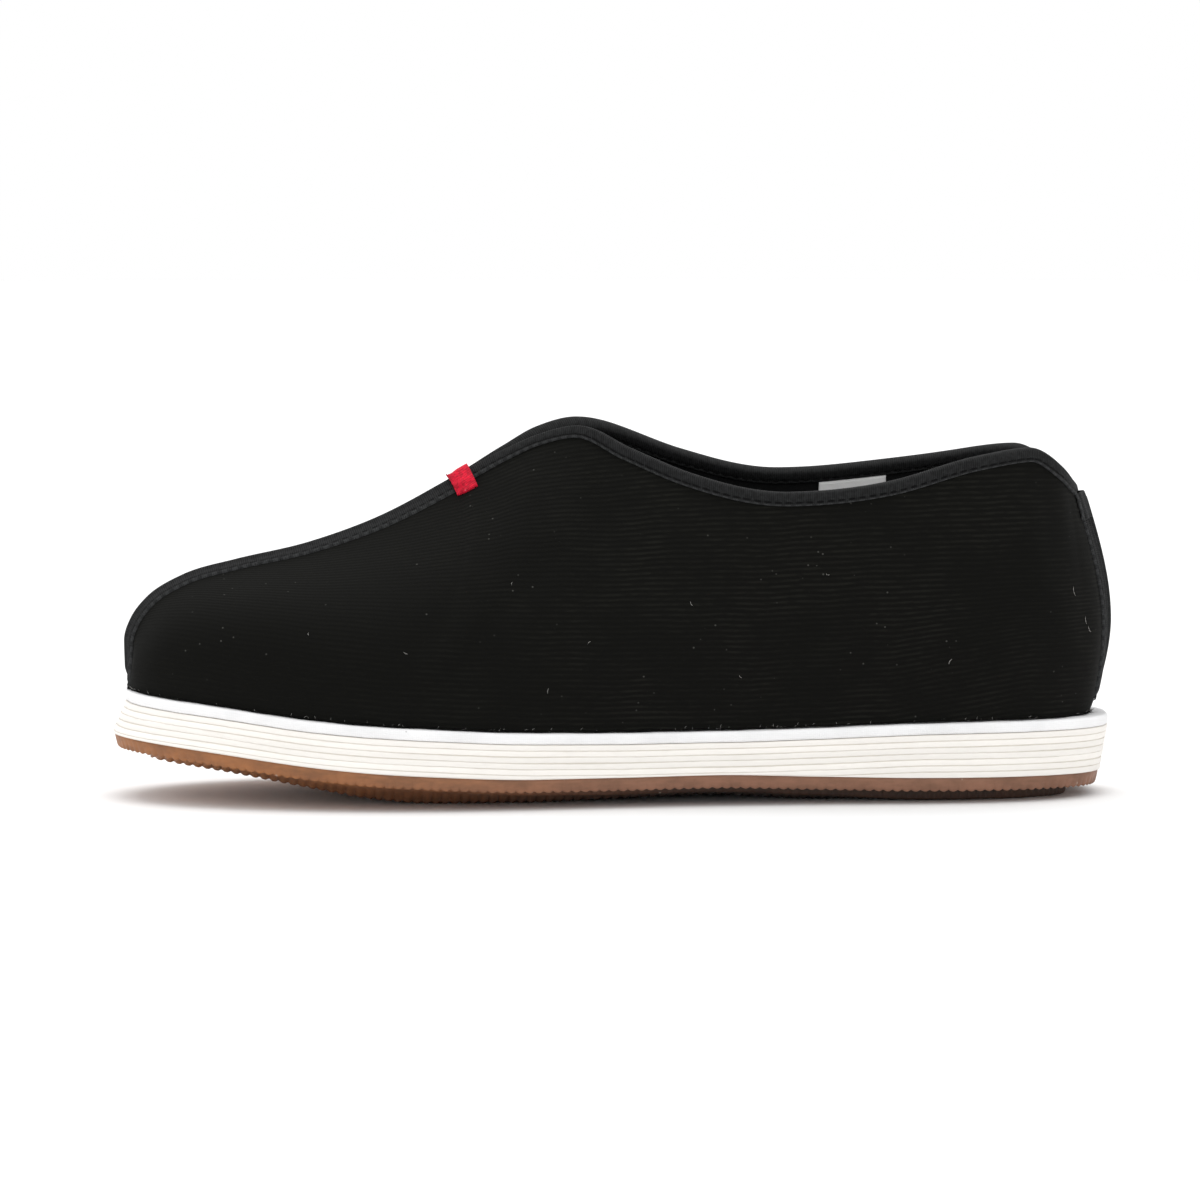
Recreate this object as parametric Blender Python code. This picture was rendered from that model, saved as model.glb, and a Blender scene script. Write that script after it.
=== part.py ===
"""Chinese cloth shoe, left foot: two bound cloth panels, sewn toe to throat and down the heel,
on a stacked white sole with a gum rubber outsole.

Metres. +X points to the toe, +Y to the outer side of the foot and +Z up. The origin is on the
floor, under the middle of the sole."""

from collections import namedtuple

import bmesh
import bpy
import numpy as np

MM = 0.001

# Driving sizes of the sole
SOLE_LENGTH = 288.0 * MM
BALL_WIDTH = 103.0 * MM
TOE_SPRING = 11.0 * MM
PAD_HEIGHT = 4.0 * MM
OUTSOLE_WALL = 3.4 * MM
MIDSOLE_HEEL = 12.8 * MM
WELT_THICKNESS = 3.2 * MM
TOE_ROUNDNESS = 2.35
HEEL_ROUNDNESS = 2.6

# How far each layer of the sole stands in from the widest outline
TOE_FLARE = 3.8 * MM
SIDE_FLARE = 1.2 * MM
HEEL_TUCK = 2.4 * MM
OUTSOLE_STEP = 0.6 * MM
OUTSOLE_WALL_DRAFT = 0.9 * MM
PAD_INSET = 8.0 * MM
PAD_DRAFT = 0.5 * MM
PAD_FLAT_SHARE = 0.72
EDGE_ROUND = 0.5 * MM
MIDSOLE_LAYERS = 7
LAYER_PITCH = 1.75 * MM
LAYER_LEAST = 0.12 * MM
LAYER_GROOVE = 0.4 * MM

# Driving sizes of the upper
UPPER_HEIGHT = 88.0 * MM
WALL = 2.4 * MM
TOE_LEDGE = 1.4 * MM
SIDE_LEDGE = 2.6 * MM
HEEL_LEDGE = 5.4 * MM
INSOLE_THICKNESS = 3.5 * MM
INSOLE_CLEARANCE = 0.6 * MM

# Tapes, tabs and label
TAPE = 1.0 * MM
TAPE_WIDTH = 5.0 * MM
TAPE_LEG = 3.3 * MM
TAPE_END = 1.5 * MM
TAPE_CLEARANCE = 0.45 * MM
TAPE_EDGE = 0.4 * MM
RIDGE_ROLL = 1.3 * MM
SLIT_HALF_GAP = 2.0 * MM
SLIT_OPENING = 2.8 * MM
NOTCH_OPENING = 1.8 * MM
SEAM_SEARCH = 26.0 * MM
STATION_LEAST = 1.0 * MM
COLLAR_OPEN = 10.0 * MM
EDGE_STEP = 2.0 * MM
TAB_WIDTH = 6.6 * MM
TAB_REACH = 6.9 * MM
TAB = 0.7 * MM
TAB_CUTS = np.array([-0.5, -0.2, 0.2, 0.5])
HEEL_TAB_DROP = 2.3 * MM
HEEL_TAB_OVERLAP = 3.4 * MM
LABEL_LENGTH = 20.0 * MM
LABEL_HEIGHT = 12.0 * MM
LABEL = 0.4 * MM
LABEL_ALONG = 0.245

GAP = 0.3 * MM
WELD = 0.02 * MM
AROUND = 40
PANEL_ROWS = 10
LATERAL, MEDIAL = 1, -1

# The sole seen from above. Half widths are shares of half the ball width, before the toe and the
# heel are rounded off.
Outline = namedtuple("Outline", "along lateral medial")
OUTLINE = [
    Outline(0.00, 0.930, 0.900),
    Outline(0.10, 0.900, 0.870),
    Outline(0.20, 0.830, 0.785),
    Outline(0.30, 0.770, 0.710),
    Outline(0.40, 0.780, 0.705),
    Outline(0.50, 0.850, 0.780),
    Outline(0.60, 0.955, 0.905),
    Outline(0.70, 1.045, 1.030),
    Outline(0.80, 1.085, 1.115),
    Outline(0.90, 1.080, 1.145),
    Outline(1.00, 1.060, 1.140),
]

# The sole seen from the side. spring and keel are shares of the toe spring: the underside of the
# outsole's plate, and the middle of the tread. midsole is a share of its thickness at the heel,
# and pad_side is a share of the pad's height.
Profile = namedtuple("Profile", "along spring midsole keel pad_side")
PROFILE = [
    Profile(0.00, -0.04, 1.020, 0.00, 0.93),
    Profile(0.10, -0.01, 1.000, 0.00, 0.93),
    Profile(0.20, 0.01, 0.960, 0.00, 0.92),
    Profile(0.30, 0.07, 0.830, 0.00, 0.75),
    Profile(0.40, 0.14, 0.725, 0.14, 0.62),
    Profile(0.50, 0.12, 0.735, 0.06, 0.62),
    Profile(0.58, 0.12, 0.770, 0.00, 0.50),
    Profile(0.68, 0.22, 0.790, 0.00, 0.42),
    Profile(0.75, 0.33, 0.785, 0.14, 0.42),
    Profile(0.80, 0.45, 0.775, 0.34, 0.42),
    Profile(0.90, 0.77, 0.765, 0.76, 0.40),
    Profile(1.00, 1.05, 0.725, 1.06, 0.40),
]

# The upper as hoops from the sole's edge to the bound edge of its panel, toe to heel.
# along is a share of the upper's own length at the sole, from heel to toe, and rise a share of its
# height above the sole, both of the bound edge. medial_up is how much higher that edge is on the
# inner side. gap is a share of the ball width, from the middle plane to the edge.
# foot is where the hoop stands on the sole's outline, 0 at the toe and 1 at the heel. lean and
# fall are in degrees: how far the foot leans out, and how far the edge falls away from level
# across the shoe. foot_pull and edge_pull are shares of the hoop's chord. The last hoop is the
# back seam itself.
Hoop = namedtuple("Hoop", "name along rise medial_up gap foot lean fall foot_pull edge_pull")
HOOPS = [
    Hoop("toe_foot", 1.0000, 0.000, 0.000, 0.000, 0.000, 10, 20, 0.52, 0.52),
    Hoop("toe_front_low", 1.0010, 0.075, 0.000, 0.000, 0.022, 10, 20, 0.52, 0.52),
    Hoop("toe_front", 1.0016, 0.155, 0.000, 0.000, 0.048, 9, 20, 0.52, 0.52),
    Hoop("toe_turn", 0.9956, 0.220, 0.000, 0.000, 0.076, 8, 20, 0.50, 0.52),
    Hoop("toe_brow", 0.9784, 0.295, 0.000, 0.000, 0.114, 8, 19, 0.53, 0.55),
    Hoop("toe_top", 0.9442, 0.370, 0.000, 0.000, 0.160, 8, 18, 0.54, 0.56),
    Hoop("vamp_low", 0.8896, 0.438, 0.000, 0.000, 0.222, 8, 18, 0.53, 0.56),
    Hoop("vamp", 0.8138, 0.522, 0.000, 0.000, 0.284, 8, 21, 0.50, 0.54),
    Hoop("vamp_high", 0.7390, 0.626, 0.000, 0.000, 0.335, 7, 27, 0.46, 0.48),
    Hoop("throat_tab", 0.6595, 0.772, 0.000, 0.000, 0.382, 7, 35, 0.42, 0.40),
    Hoop("throat", 0.6101, 0.868, 0.008, 0.012, 0.412, 7, 38, 0.40, 0.37),
    Hoop("throat_top", 0.5748, 0.925, 0.016, 0.044, 0.436, 7, 42, 0.40, 0.35),
    Hoop("peak", 0.5343, 0.958, 0.014, 0.085, 0.460, 7, 53, 0.39, 0.34),
    Hoop("shoulder", 0.4844, 0.893, 0.042, 0.150, 0.492, 7, 61, 0.37, 0.33),
    Hoop("slope", 0.4221, 0.813, 0.043, 0.222, 0.532, 8, 69, 0.35, 0.33),
    Hoop("dip", 0.3192, 0.750, 0.033, 0.274, 0.604, 9, 77, 0.34, 0.33),
    Hoop("quarter", 0.2184, 0.774, 0.019, 0.292, 0.678, 9, 79, 0.34, 0.33),
    Hoop("quarter_high", 0.1249, 0.848, -0.021, 0.268, 0.749, 9, 79, 0.34, 0.33),
    Hoop("heel_top", 0.0709, 0.869, -0.019, 0.206, 0.812, 9, 79, 0.35, 0.34),
    Hoop("heel_corner", 0.0350, 0.800, -0.010, 0.132, 0.872, 10, 78, 0.37, 0.36),
    Hoop("heel_turn", 0.0225, 0.754, -0.004, 0.060, 0.934, 12, 77, 0.40, 0.38),
    Hoop("heel_seam", 0.0155, 0.731, 0.000, 0.000, 1.000, 15, 73, 0.42, 0.40),
]

Finish = namedtuple("Finish", "name colour roughness")
CORDUROY = Finish("black corduroy", (0.012, 0.012, 0.011), 0.95)
TAPE_COTTON = Finish("black cotton tape", (0.022, 0.022, 0.023), 0.85)
RED_COTTON = Finish("red cotton tape", (0.62, 0.012, 0.035), 0.8)
WHITE_COTTON = Finish("white cotton cloth", (0.86, 0.87, 0.88), 0.9)
CREAM_LAYERS = Finish("cream stacked layers", (0.86, 0.84, 0.78), 0.7)
GUM_RUBBER = Finish("brown gum rubber", (0.24, 0.10, 0.045), 0.5)
BLACK_FELT = Finish("black felt", (0.02, 0.02, 0.02), 0.95)
LABEL_CLOTH = Finish("white woven label", (0.85, 0.85, 0.85), 0.8)


def column(rows, name):
    """One named column of a table."""
    return np.array([getattr(row, name) for row in rows], float)


def smooth(knots, values, at):
    """A curve through the values: cubics that share their slopes and don't overshoot."""
    steps = np.diff(knots)
    rises = np.diff(values) / steps
    slopes = np.gradient(values, knots)
    limit = 3 * np.minimum(abs(rises[:-1]), abs(rises[1:]))
    turning = rises[:-1] * rises[1:] <= 0
    slopes[1:-1] = np.where(turning, 0, np.clip(slopes[1:-1], -limit, limit))
    at = np.asarray(at, float)
    i = np.clip(np.searchsorted(knots, at, side="right") - 1, 0, len(steps) - 1)
    t = np.clip((at - knots[i]) / steps[i], 0, 1)
    bend = (1 - t) * slopes[i] - t * slopes[i + 1]
    twist = (2 * t - 1) * (values[i + 1] - values[i])
    start = values[i] + t * (values[i + 1] - values[i])
    return start + t * (1 - t) * (bend * steps[i] + twist)


def from_table(rows, name, along):
    """A table's column at any share of the sole's length."""
    return smooth(column(rows, "along"), column(rows, name), along)


def along_of(x):
    """Share of the sole's length at x: 0 at the heel, 1 at the toe."""
    return np.clip(x / SOLE_LENGTH + 0.5, 0, 1)


def unit(vectors):
    """Vectors of length 1."""
    return vectors / np.maximum(np.linalg.norm(vectors, axis=-1, keepdims=True), 1e-12)


# Heights of the sole's layers at any x


def plate_bottom(x):
    return PAD_HEIGHT + TOE_SPRING * from_table(PROFILE, "spring", along_of(x))


def midsole_bottom(x):
    return plate_bottom(x) + OUTSOLE_WALL


def midsole_thickness(x):
    return MIDSOLE_HEEL * from_table(PROFILE, "midsole", along_of(x))


def welt_bottom(x):
    return midsole_bottom(x) + midsole_thickness(x)


def sole_top(x):
    return welt_bottom(x) + WELT_THICKNESS


# Plan of the sole


def widest_outline(place, side):
    """The sole's widest outline on one side, at a place from 0 at the toe to 1 at the heel."""
    turn = np.cos(np.pi * place)
    along = (1 + turn) / 2
    name = "lateral" if side == LATERAL else "medial"
    half = from_table(OUTLINE, name, along) * BALL_WIDTH / 2
    power = np.where(turn > 0, TOE_ROUNDNESS, HEEL_ROUNDNESS)
    rounding = np.maximum(1 - abs(turn) ** power, 0) ** (1 / power)
    y = side * np.sign(np.sin(np.pi * place)) * half * rounding
    return np.stack([SOLE_LENGTH * (along - 0.5), y], axis=-1)


def outline(place, side, inset):
    """The widest outline moved in by inset. Also gives its outward direction."""
    place = np.asarray(place, float)
    step = 0.004
    ahead = widest_outline(place + step, side) - widest_outline(place - step, side)
    outward = unit(np.stack([side * -ahead[..., 1], side * ahead[..., 0]], axis=-1)) * -1
    base = widest_outline(place, side)
    return base - outward * np.asarray(inset)[..., None], outward


def by_place(toe, side, heel, place):
    """A size that changes from toe to side to heel."""
    knots = np.array([0.0, 0.28, 0.72, 1.0])
    return smooth(knots, np.array([toe, side, side, heel]), place)


def top_inset(place):
    return by_place(TOE_FLARE, SIDE_FLARE, 0.0, place)


def bottom_inset(place):
    return by_place(0.0, SIDE_FLARE / 3, HEEL_TUCK, place)


def ledge(place):
    return by_place(TOE_LEDGE, SIDE_LEDGE, HEEL_LEDGE, place)


def ring(inset_at, height_at, count=AROUND):
    """A closed ring round the sole, lateral side first: inset from place, height from x."""
    places = np.linspace(0, 1, count + 1)
    lateral = outline(places, LATERAL, inset_at(places))[0]
    medial = outline(places, MEDIAL, inset_at(places))[0]
    plan = np.concatenate([lateral, medial[-2:0:-1]])
    plan[0, 1] = plan[count, 1] = 0.0
    heights = height_at(plan[:, 0])
    return np.column_stack([plan, heights])


# The upper's panels

KEYS = [hoop.name for hoop in HOOPS]
LAST = len(HOOPS) - 1


def foot_x(place):
    """Where the upper's foot crosses the middle plane, at the toe or at the heel."""
    inset = top_inset(place) + ledge(place)
    return np.cos(np.pi * place) * (SOLE_LENGTH / 2 - inset)


def bound_edge_x(along):
    return foot_x(1.0) + along * (foot_x(0.0) - foot_x(1.0))


def bound_edge_height(x, rise):
    return sole_top(x) + GAP + rise * UPPER_HEIGHT


def edge_knots():
    """Distance along the bound edge to each hoop, for the curve through them."""
    x = bound_edge_x(column(HOOPS, "along"))
    z = bound_edge_height(x, column(HOOPS, "rise"))
    steps = np.hypot(np.diff(x), np.diff(z))
    return np.concatenate([[0.0], np.cumsum(steps)])


KNOTS = edge_knots()


def hoop_value(station, name):
    """A column of the hoop table at any distance along the bound edge."""
    return smooth(KNOTS, column(HOOPS, name), station)


def station_of(name):
    return KNOTS[KEYS.index(name)]


FRONT_TAB = station_of("throat_tab")
SLIT_START = FRONT_TAB - SLIT_OPENING / 2
SLIT_FULL = FRONT_TAB + SLIT_OPENING / 2
NOTCH_END = KNOTS[-1]
NOTCH_FULL = NOTCH_END - NOTCH_OPENING


def half_gap(station):
    """From the middle plane to the bound edge: none where the panels are sewn together."""
    opened = np.interp(station, [SLIT_START, SLIT_FULL, NOTCH_FULL, NOTCH_END], [0, 1, 1, 0])
    return opened * (SLIT_HALF_GAP + hoop_value(station, "gap") * BALL_WIDTH)


def bound_edge(station, side):
    """The panel's bound edge: up the toe, back along the vamp and round the collar."""
    x = bound_edge_x(hoop_value(station, "along"))
    rise = hoop_value(station, "rise")
    if side == MEDIAL:
        rise = rise + hoop_value(station, "medial_up")
    return np.stack([x, side * half_gap(station), bound_edge_height(x, rise)], axis=-1)


def edge_ahead(station, side):
    """Along the bound edge, from the toe to the heel, as if the slit opened without a step."""
    low = np.clip(station - EDGE_STEP, 0, KNOTS[-1])
    high = np.clip(station + EDGE_STEP, 0, KNOTS[-1])
    ahead = bound_edge(high, side) - bound_edge(low, side)
    ahead[..., 1] = side * BALL_WIDTH * (hoop_value(high, "gap") - hoop_value(low, "gap"))
    return unit(ahead)


def collar_opened(station):
    """0 where the panels are sewn together, 1 where the collar is open."""
    return np.clip(hoop_value(station, "gap") * BALL_WIDTH / COLLAR_OPEN, 0, 1)[..., None]


def across(station, side):
    """Along the panel's face, square to its bound edge and away from it. The face looks out and
    up there. Out is sideways at the front seam, backwards at the back seam, and square to the edge
    seen from above round the collar. Up is square to the front seam in the middle plane."""
    ahead = edge_ahead(station, side)
    x, y, z = np.moveaxis(ahead, -1, 0)
    opened = collar_opened(station)
    behind = station > station_of("dip")
    at_seam = np.stack([-1.0 * behind, side * (1.0 - behind), 0 * z], axis=-1)
    at_collar = unit(side * np.stack([y, -x, 0 * z], axis=-1))
    outward = unit(at_seam + opened * (at_collar - at_seam))
    square = unit(np.stack([z, 0 * y, -x], axis=-1))
    upright = np.maximum(opened, behind[..., None])
    up = unit(square + upright * (np.array([0.0, 0.0, 1.0]) - square))
    fall = np.radians(hoop_value(station, "fall"))[..., None]
    looks = np.sin(fall) * outward + np.cos(fall) * up
    return unit(side * np.cross(ahead, looks))


def leaving(station, side):
    """The way a hoop leaves the bound edge along the panel's face: square to the front seam, and
    straight down where the collar is open and at the back seam."""
    ahead = edge_ahead(station, side)
    away = across(station, side)
    down = unit(-ahead[..., 2:] * ahead - away[..., 2:] * away)
    straight = np.maximum(collar_opened(station), (station > station_of("dip"))[..., None])
    return unit(away + straight * (down - away))


def foot_line(station, side):
    """Where the hoop stands on the sole, and the way out from there."""
    place = hoop_value(station, "foot")
    plan, outward = outline(place, side, top_inset(place) + ledge(place))
    ends = (place <= 0) | (place >= 1)
    plan[..., 1] = np.where(ends, 0, plan[..., 1])
    height = sole_top(plan[..., 0]) + GAP
    outward = np.concatenate([outward, 0 * outward[..., :1]], axis=-1)
    return np.concatenate([plan, height[..., None]], axis=-1), outward


def panel(station, share, side):
    """A point of the panel's outer face: a cubic curve from the foot, share 0, to the edge, 1."""
    foot, outward = foot_line(station, side)
    edge = bound_edge(station, side)
    chord = np.linalg.norm(edge - foot, axis=-1, keepdims=True)
    lean = np.radians(hoop_value(station, "lean"))[..., None]
    rising = np.cos(lean) * np.array([0.0, 0.0, 1.0]) + np.sin(lean) * outward
    foot_pull = hoop_value(station, "foot_pull")[..., None]
    edge_pull = hoop_value(station, "edge_pull")[..., None]
    low = foot + foot_pull * chord * rising
    high = edge + edge_pull * chord * leaving(station, side)
    t = np.asarray(share)[..., None]
    return (1 - t) ** 3 * foot + 3 * t * (1 - t) ** 2 * low + 3 * t**2 * (1 - t) * high + t**3 * edge


def through_wall(station, share, side):
    """Outward through the wall. It stays in the middle plane where the panels are sewn together
    along the vamp, and level where the panel stands on the sole."""
    step = 0.5 * MM
    inside = np.clip(station, 6 * MM, KNOTS[-1] - step)
    low = np.clip(share - 0.02, 0, 1)
    high = np.clip(share + 0.02, 0, 1)
    back = panel(inside + step, share, side) - panel(inside - step, share, side)
    up = panel(inside, high, side) - panel(inside, low, side)
    normal = unit(np.cross(back, up)) * side
    sewn = np.clip(1 - half_gap(station) / (3 * SLIT_HALF_GAP), 0, 1)
    near_edge = np.clip((share - 0.6) / 0.4, 0, 1) ** 2
    near_foot = np.clip(1 - share / 0.2, 0, 1)
    free = normal.copy()
    free[..., 1] *= 1 - sewn * near_edge
    free[..., 2] *= 1 - near_foot
    free = unit(free)
    stretch = np.clip((free * normal).sum(axis=-1, keepdims=True), 0.75, 1)
    return free / stretch


def in_wall(station, share, side, depth):
    """A point at a depth in the wall, 0 on its outer face. It keeps its height over the sole."""
    start = panel(station, share, side)
    point = start - np.asarray(depth)[..., None] * through_wall(station, share, side)
    near_foot = np.clip(1 - share / 0.2, 0, 1)
    point[..., 2] += near_foot * (sole_top(point[..., 0]) - sole_top(start[..., 0]))
    return point


def share_at(station, down, side):
    """The share of the hoop that lies this far from the bound edge, straight across the panel, or
    the hoop's foot where the sole comes first."""
    shares = np.linspace(1, 0, 61)
    grid = panel(station[:, None], shares[None, :] + 0 * station[:, None], side)
    away = ((grid - grid[:, :1]) * across(station, side)[:, None, :]).sum(axis=-1)
    reach = np.maximum.accumulate(away, axis=1)
    return np.array([np.interp(at, row, shares) for at, row in zip(down, reach)])


def off_edge(station, down, depth, side):
    """A point this far down the panel from its bound edge, or past the edge if down is below 0."""
    down = down + 0 * station
    share = share_at(station, np.maximum(down, 0), side)
    point = in_wall(station, share, side, depth + 0 * station)
    return point + np.minimum(down, 0)[..., None] * across(station, side)


def off_seam(height, sideways, depth, side):
    """A point this far to the side of the back seam, level with a height on it."""
    stations = KNOTS[-1] - SEAM_SEARCH * np.linspace(0, 1, 13)
    shares = np.linspace(0, 1, 41)
    hoops = panel(stations[:, None], shares[None, :] + 0 * stations[:, None], side)
    points = []
    for level in height:
        at = np.array([np.interp(level, hoop[:, 2], shares) for hoop in hoops])
        steps = np.linalg.norm(np.diff(panel(stations, at, side), axis=0), axis=-1)
        gone = np.concatenate([[0.0], np.cumsum(steps)])
        points.append(in_wall(*[np.interp(sideways, gone, row) for row in (stations, at)], side, depth))
    return np.array(points)


def station_list(first, last):
    """The hoops between two stations and one between each pair, so that neighbours share them."""
    halves = (KNOTS[:-1] + KNOTS[1:]) / 2
    special = [SLIT_START, SLIT_FULL, NOTCH_FULL, NOTCH_END]
    clear = [k for k in [*KNOTS, *halves] if min(abs(k - s) for s in special) > STATION_LEAST]
    every = np.unique(np.round([*clear, *special], 7))
    inner = every[(every > first + 0.5 * MM) & (every < last - 0.5 * MM)]
    return np.concatenate([[first], inner, [last]])


# Making solids


def material_of(finish):
    material = bpy.data.materials.get(finish.name) or bpy.data.materials.new(finish.name)
    material.use_nodes = True
    shader = material.node_tree.nodes["Principled BSDF"]
    shader.inputs["Base Color"].default_value = (*finish.colour, 1.0)
    shader.inputs["Roughness"].default_value = finish.roughness
    shader.inputs["Metallic"].default_value = 0.0
    return material


def make_solid(name, points, faces, finish):
    """A named object from points and faces: doubles merged, faces turned outwards."""
    mesh = bpy.data.meshes.new(name)
    mesh.from_pydata([tuple(p) for p in points], [], faces)
    work = bmesh.new()
    work.from_mesh(mesh)
    bmesh.ops.remove_doubles(work, verts=work.verts, dist=WELD)
    bmesh.ops.dissolve_degenerate(work, edges=work.edges, dist=WELD)
    bmesh.ops.triangulate(work, faces=work.faces)
    bmesh.ops.recalc_face_normals(work, faces=work.faces)
    work.to_mesh(mesh)
    work.free()
    mesh.materials.append(material_of(finish))
    mesh.shade_smooth()
    mesh.set_sharp_from_angle(angle=np.radians(35))
    solid = bpy.data.objects.new(name, mesh)
    SHOE.objects.link(solid)
    return solid


def stacked_rings(name, rings, finish):
    """A solid from rings, bottom one first, closed below and above by rungs across the shoe."""
    count = len(rings[0])
    half = count // 2
    points = np.concatenate(rings)
    faces = []
    for level in range(len(rings) - 1):
        low, high = level * count, (level + 1) * count
        for i in range(count):
            j = (i + 1) % count
            faces.append((low + i, low + j, high + j, high + i))
    for start in (0, (len(rings) - 1) * count):
        for i in range(half):
            rung = [start + i, start + i + 1, start + (count - i - 1) % count, start + (count - i) % count]
            faces.append(tuple(dict.fromkeys(rung)))
    return make_solid(name, points, faces, finish)


def swept(name, sections, finish):
    """A solid from closed sections, one after another, with its two ends closed."""
    stations, around = sections.shape[:2]
    points = sections.reshape(-1, 3)
    faces = []
    for s in range(stations - 1):
        for i in range(around):
            j = (i + 1) % around
            a, b = s * around, (s + 1) * around
            faces.append((a + i, a + j, b + j, b + i))
    faces.append(tuple(range(around)))
    faces.append(tuple((stations - 1) * around + i for i in range(around)))
    return make_solid(name, points, faces, finish)


# The sole


def make_outsole():
    """Gum rubber: a plate with a low wall, and under it a pad that stands in all round."""
    wall_top = lambda p: bottom_inset(p) + OUTSOLE_STEP
    wall_low = lambda p: wall_top(p) + OUTSOLE_WALL_DRAFT
    pad_top = lambda p: wall_low(p) + PAD_INSET
    pad_low = lambda p: pad_top(p) + PAD_DRAFT
    keel = lambda x: TOE_SPRING * from_table(PROFILE, "keel", along_of(x))
    pad_side = lambda x: PAD_HEIGHT * from_table(PROFILE, "pad_side", along_of(x))
    flat = ring(pad_low, keel)
    flat[:, 1] *= PAD_FLAT_SHARE
    flat[:, 2] = keel(flat[:, 0])
    side = ring(pad_low, lambda x: plate_bottom(x) - pad_side(x))
    # The tread's tip and heel stand above the keel, so its flat part stops short of them.
    side[:, 2] = np.maximum(side[:, 2], flat[:, 2])
    top = ring(wall_top, midsole_bottom)
    top[:, 2] = midsole_bottom(ring(top_inset, welt_bottom)[:, 0])
    rings = [
        flat,
        side,
        ring(pad_top, plate_bottom),
        ring(lambda p: wall_low(p) + EDGE_ROUND, plate_bottom),
        ring(wall_low, lambda x: plate_bottom(x) + EDGE_ROUND),
        top,
    ]
    return stacked_rings("outsole", rings, GUM_RUBBER)


def layer_depths(x):
    """Depth under the welt of each join between layers. The lowest layers run out to the toe."""
    thickness = midsole_thickness(x) - GAP
    left = thickness[None, :] - LAYER_PITCH * np.arange(MIDSOLE_LAYERS)[:, None]
    layers = np.clip(left, LAYER_LEAST, LAYER_PITCH)
    layers *= thickness / layers.sum(axis=0)
    return np.concatenate([0 * thickness[None, :], np.cumsum(layers, axis=0)]), layers


def make_midsole():
    """Stacked cream layers, whose edges show as ribs with grooves between them."""
    reference = ring(top_inset, welt_bottom)
    depths, layers = layer_depths(reference[:, 0])
    thickness = depths[-1]
    rings = []

    def side_ring(depth, recess):
        level = depth / thickness
        places = np.linspace(0, 1, AROUND + 1)
        loop = np.concatenate([places, places[-2:0:-1]])
        inset = top_inset(loop) * (1 - level) + bottom_inset(loop) * level + recess
        lateral = outline(places, LATERAL, inset[: AROUND + 1])[0]
        medial = outline(loop[AROUND + 1 :], MEDIAL, inset[AROUND + 1 :])[0]
        plan = np.concatenate([lateral, medial])
        plan[0, 1] = plan[AROUND, 1] = 0.0
        return np.column_stack([plan, welt_bottom(reference[:, 0]) - depth])

    for layer in range(MIDSOLE_LAYERS - 1, -1, -1):
        share = layers[layer] / LAYER_PITCH
        groove = LAYER_GROOVE * np.clip(share, 0, 1)
        rings.append(side_ring(depths[layer + 1], groove))
        rings.append(side_ring((depths[layer] + depths[layer + 1]) / 2, 0 * groove))
    rings.append(side_ring(depths[0], LAYER_GROOVE + 0 * thickness))
    return stacked_rings("midsole", rings, CREAM_LAYERS)


def make_welt():
    """The top board, wrapped in white cotton, with a soft edge that stands proud of the upper."""
    bottom = lambda x: welt_bottom(x) + GAP
    rings = [
        ring(lambda p: top_inset(p) + EDGE_ROUND, bottom),
        ring(top_inset, lambda x: bottom(x) + EDGE_ROUND),
        ring(top_inset, lambda x: sole_top(x) - 2 * EDGE_ROUND),
        ring(lambda p: top_inset(p) + EDGE_ROUND, lambda x: sole_top(x) - 0.5 * EDGE_ROUND),
        ring(lambda p: top_inset(p) + 2 * EDGE_ROUND, sole_top),
    ]
    return stacked_rings("welt", rings, WHITE_COTTON)


def make_insole():
    """A felt sock that lies inside the upper."""
    inner = lambda p: top_inset(p) + ledge(p) + WALL + INSOLE_CLEARANCE
    rings = [
        ring(inner, lambda x: sole_top(x) + GAP),
        ring(inner, lambda x: sole_top(x) + GAP + INSOLE_THICKNESS - EDGE_ROUND),
        ring(lambda p: inner(p) + EDGE_ROUND, lambda x: sole_top(x) + GAP + INSOLE_THICKNESS),
    ]
    return stacked_rings("insole", rings, BLACK_FELT)


# The upper and what is sewn on it


def make_upper():
    """One hollow shell of both panels, open under the foot, at the throat and at the collar."""
    stations = station_list(0.0, KNOTS[-1])
    shares = np.linspace(0, 1, PANEL_ROWS + 1)
    grid_s, grid_t = np.meshgrid(stations, shares, indexing="ij")
    faces_of = []
    for depth in (0.0, WALL):
        lateral = in_wall(grid_s, grid_t, LATERAL, depth + 0 * grid_s)
        medial = in_wall(grid_s, grid_t, MEDIAL, depth + 0 * grid_s)
        lateral[0] = medial[0] = (lateral[0, 0] + medial[0, 0]) / 2
        lateral[-1] = medial[-1] = (lateral[-1] + medial[-1]) / 2
        faces_of.append(np.concatenate([lateral, medial[-2:0:-1]]))
    columns, rows = faces_of[0].shape[:2]
    open_top = half_gap(np.concatenate([stations, stations[-2:0:-1]])) > WELD
    points = np.concatenate([grid.reshape(-1, 3) for grid in faces_of])
    inner = columns * rows
    faces = []
    for c in range(columns):
        d = (c + 1) % columns
        for r in range(rows - 1):
            quad = (c * rows + r, d * rows + r, d * rows + r + 1, c * rows + r + 1)
            faces.append(quad)
            faces.append(tuple(inner + i for i in reversed(quad)))
        faces.append((c * rows, inner + c * rows, inner + d * rows, d * rows))
        if open_top[c] or open_top[d]:
            top_c, top_d = c * rows + rows - 1, d * rows + rows - 1
            faces.append((top_c, top_d, inner + top_d, inner + top_c))
    return make_solid("upper", points, faces, CORDUROY)


def bent(place, along, reach, rows):
    """Lines over the seam, from edge to edge: rows of (share of the reach, height over the cloth)
    that run from the strip's edge to the middle plane."""
    lateral = [place(along, share * reach, -up, LATERAL) for share, up in rows]
    medial = [place(along, share * reach, -up, MEDIAL) for share, up in rows]
    middle = (lateral[-1] + medial[-1]) / 2
    return [*lateral[:-1], middle, *medial[-2::-1]]


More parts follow.
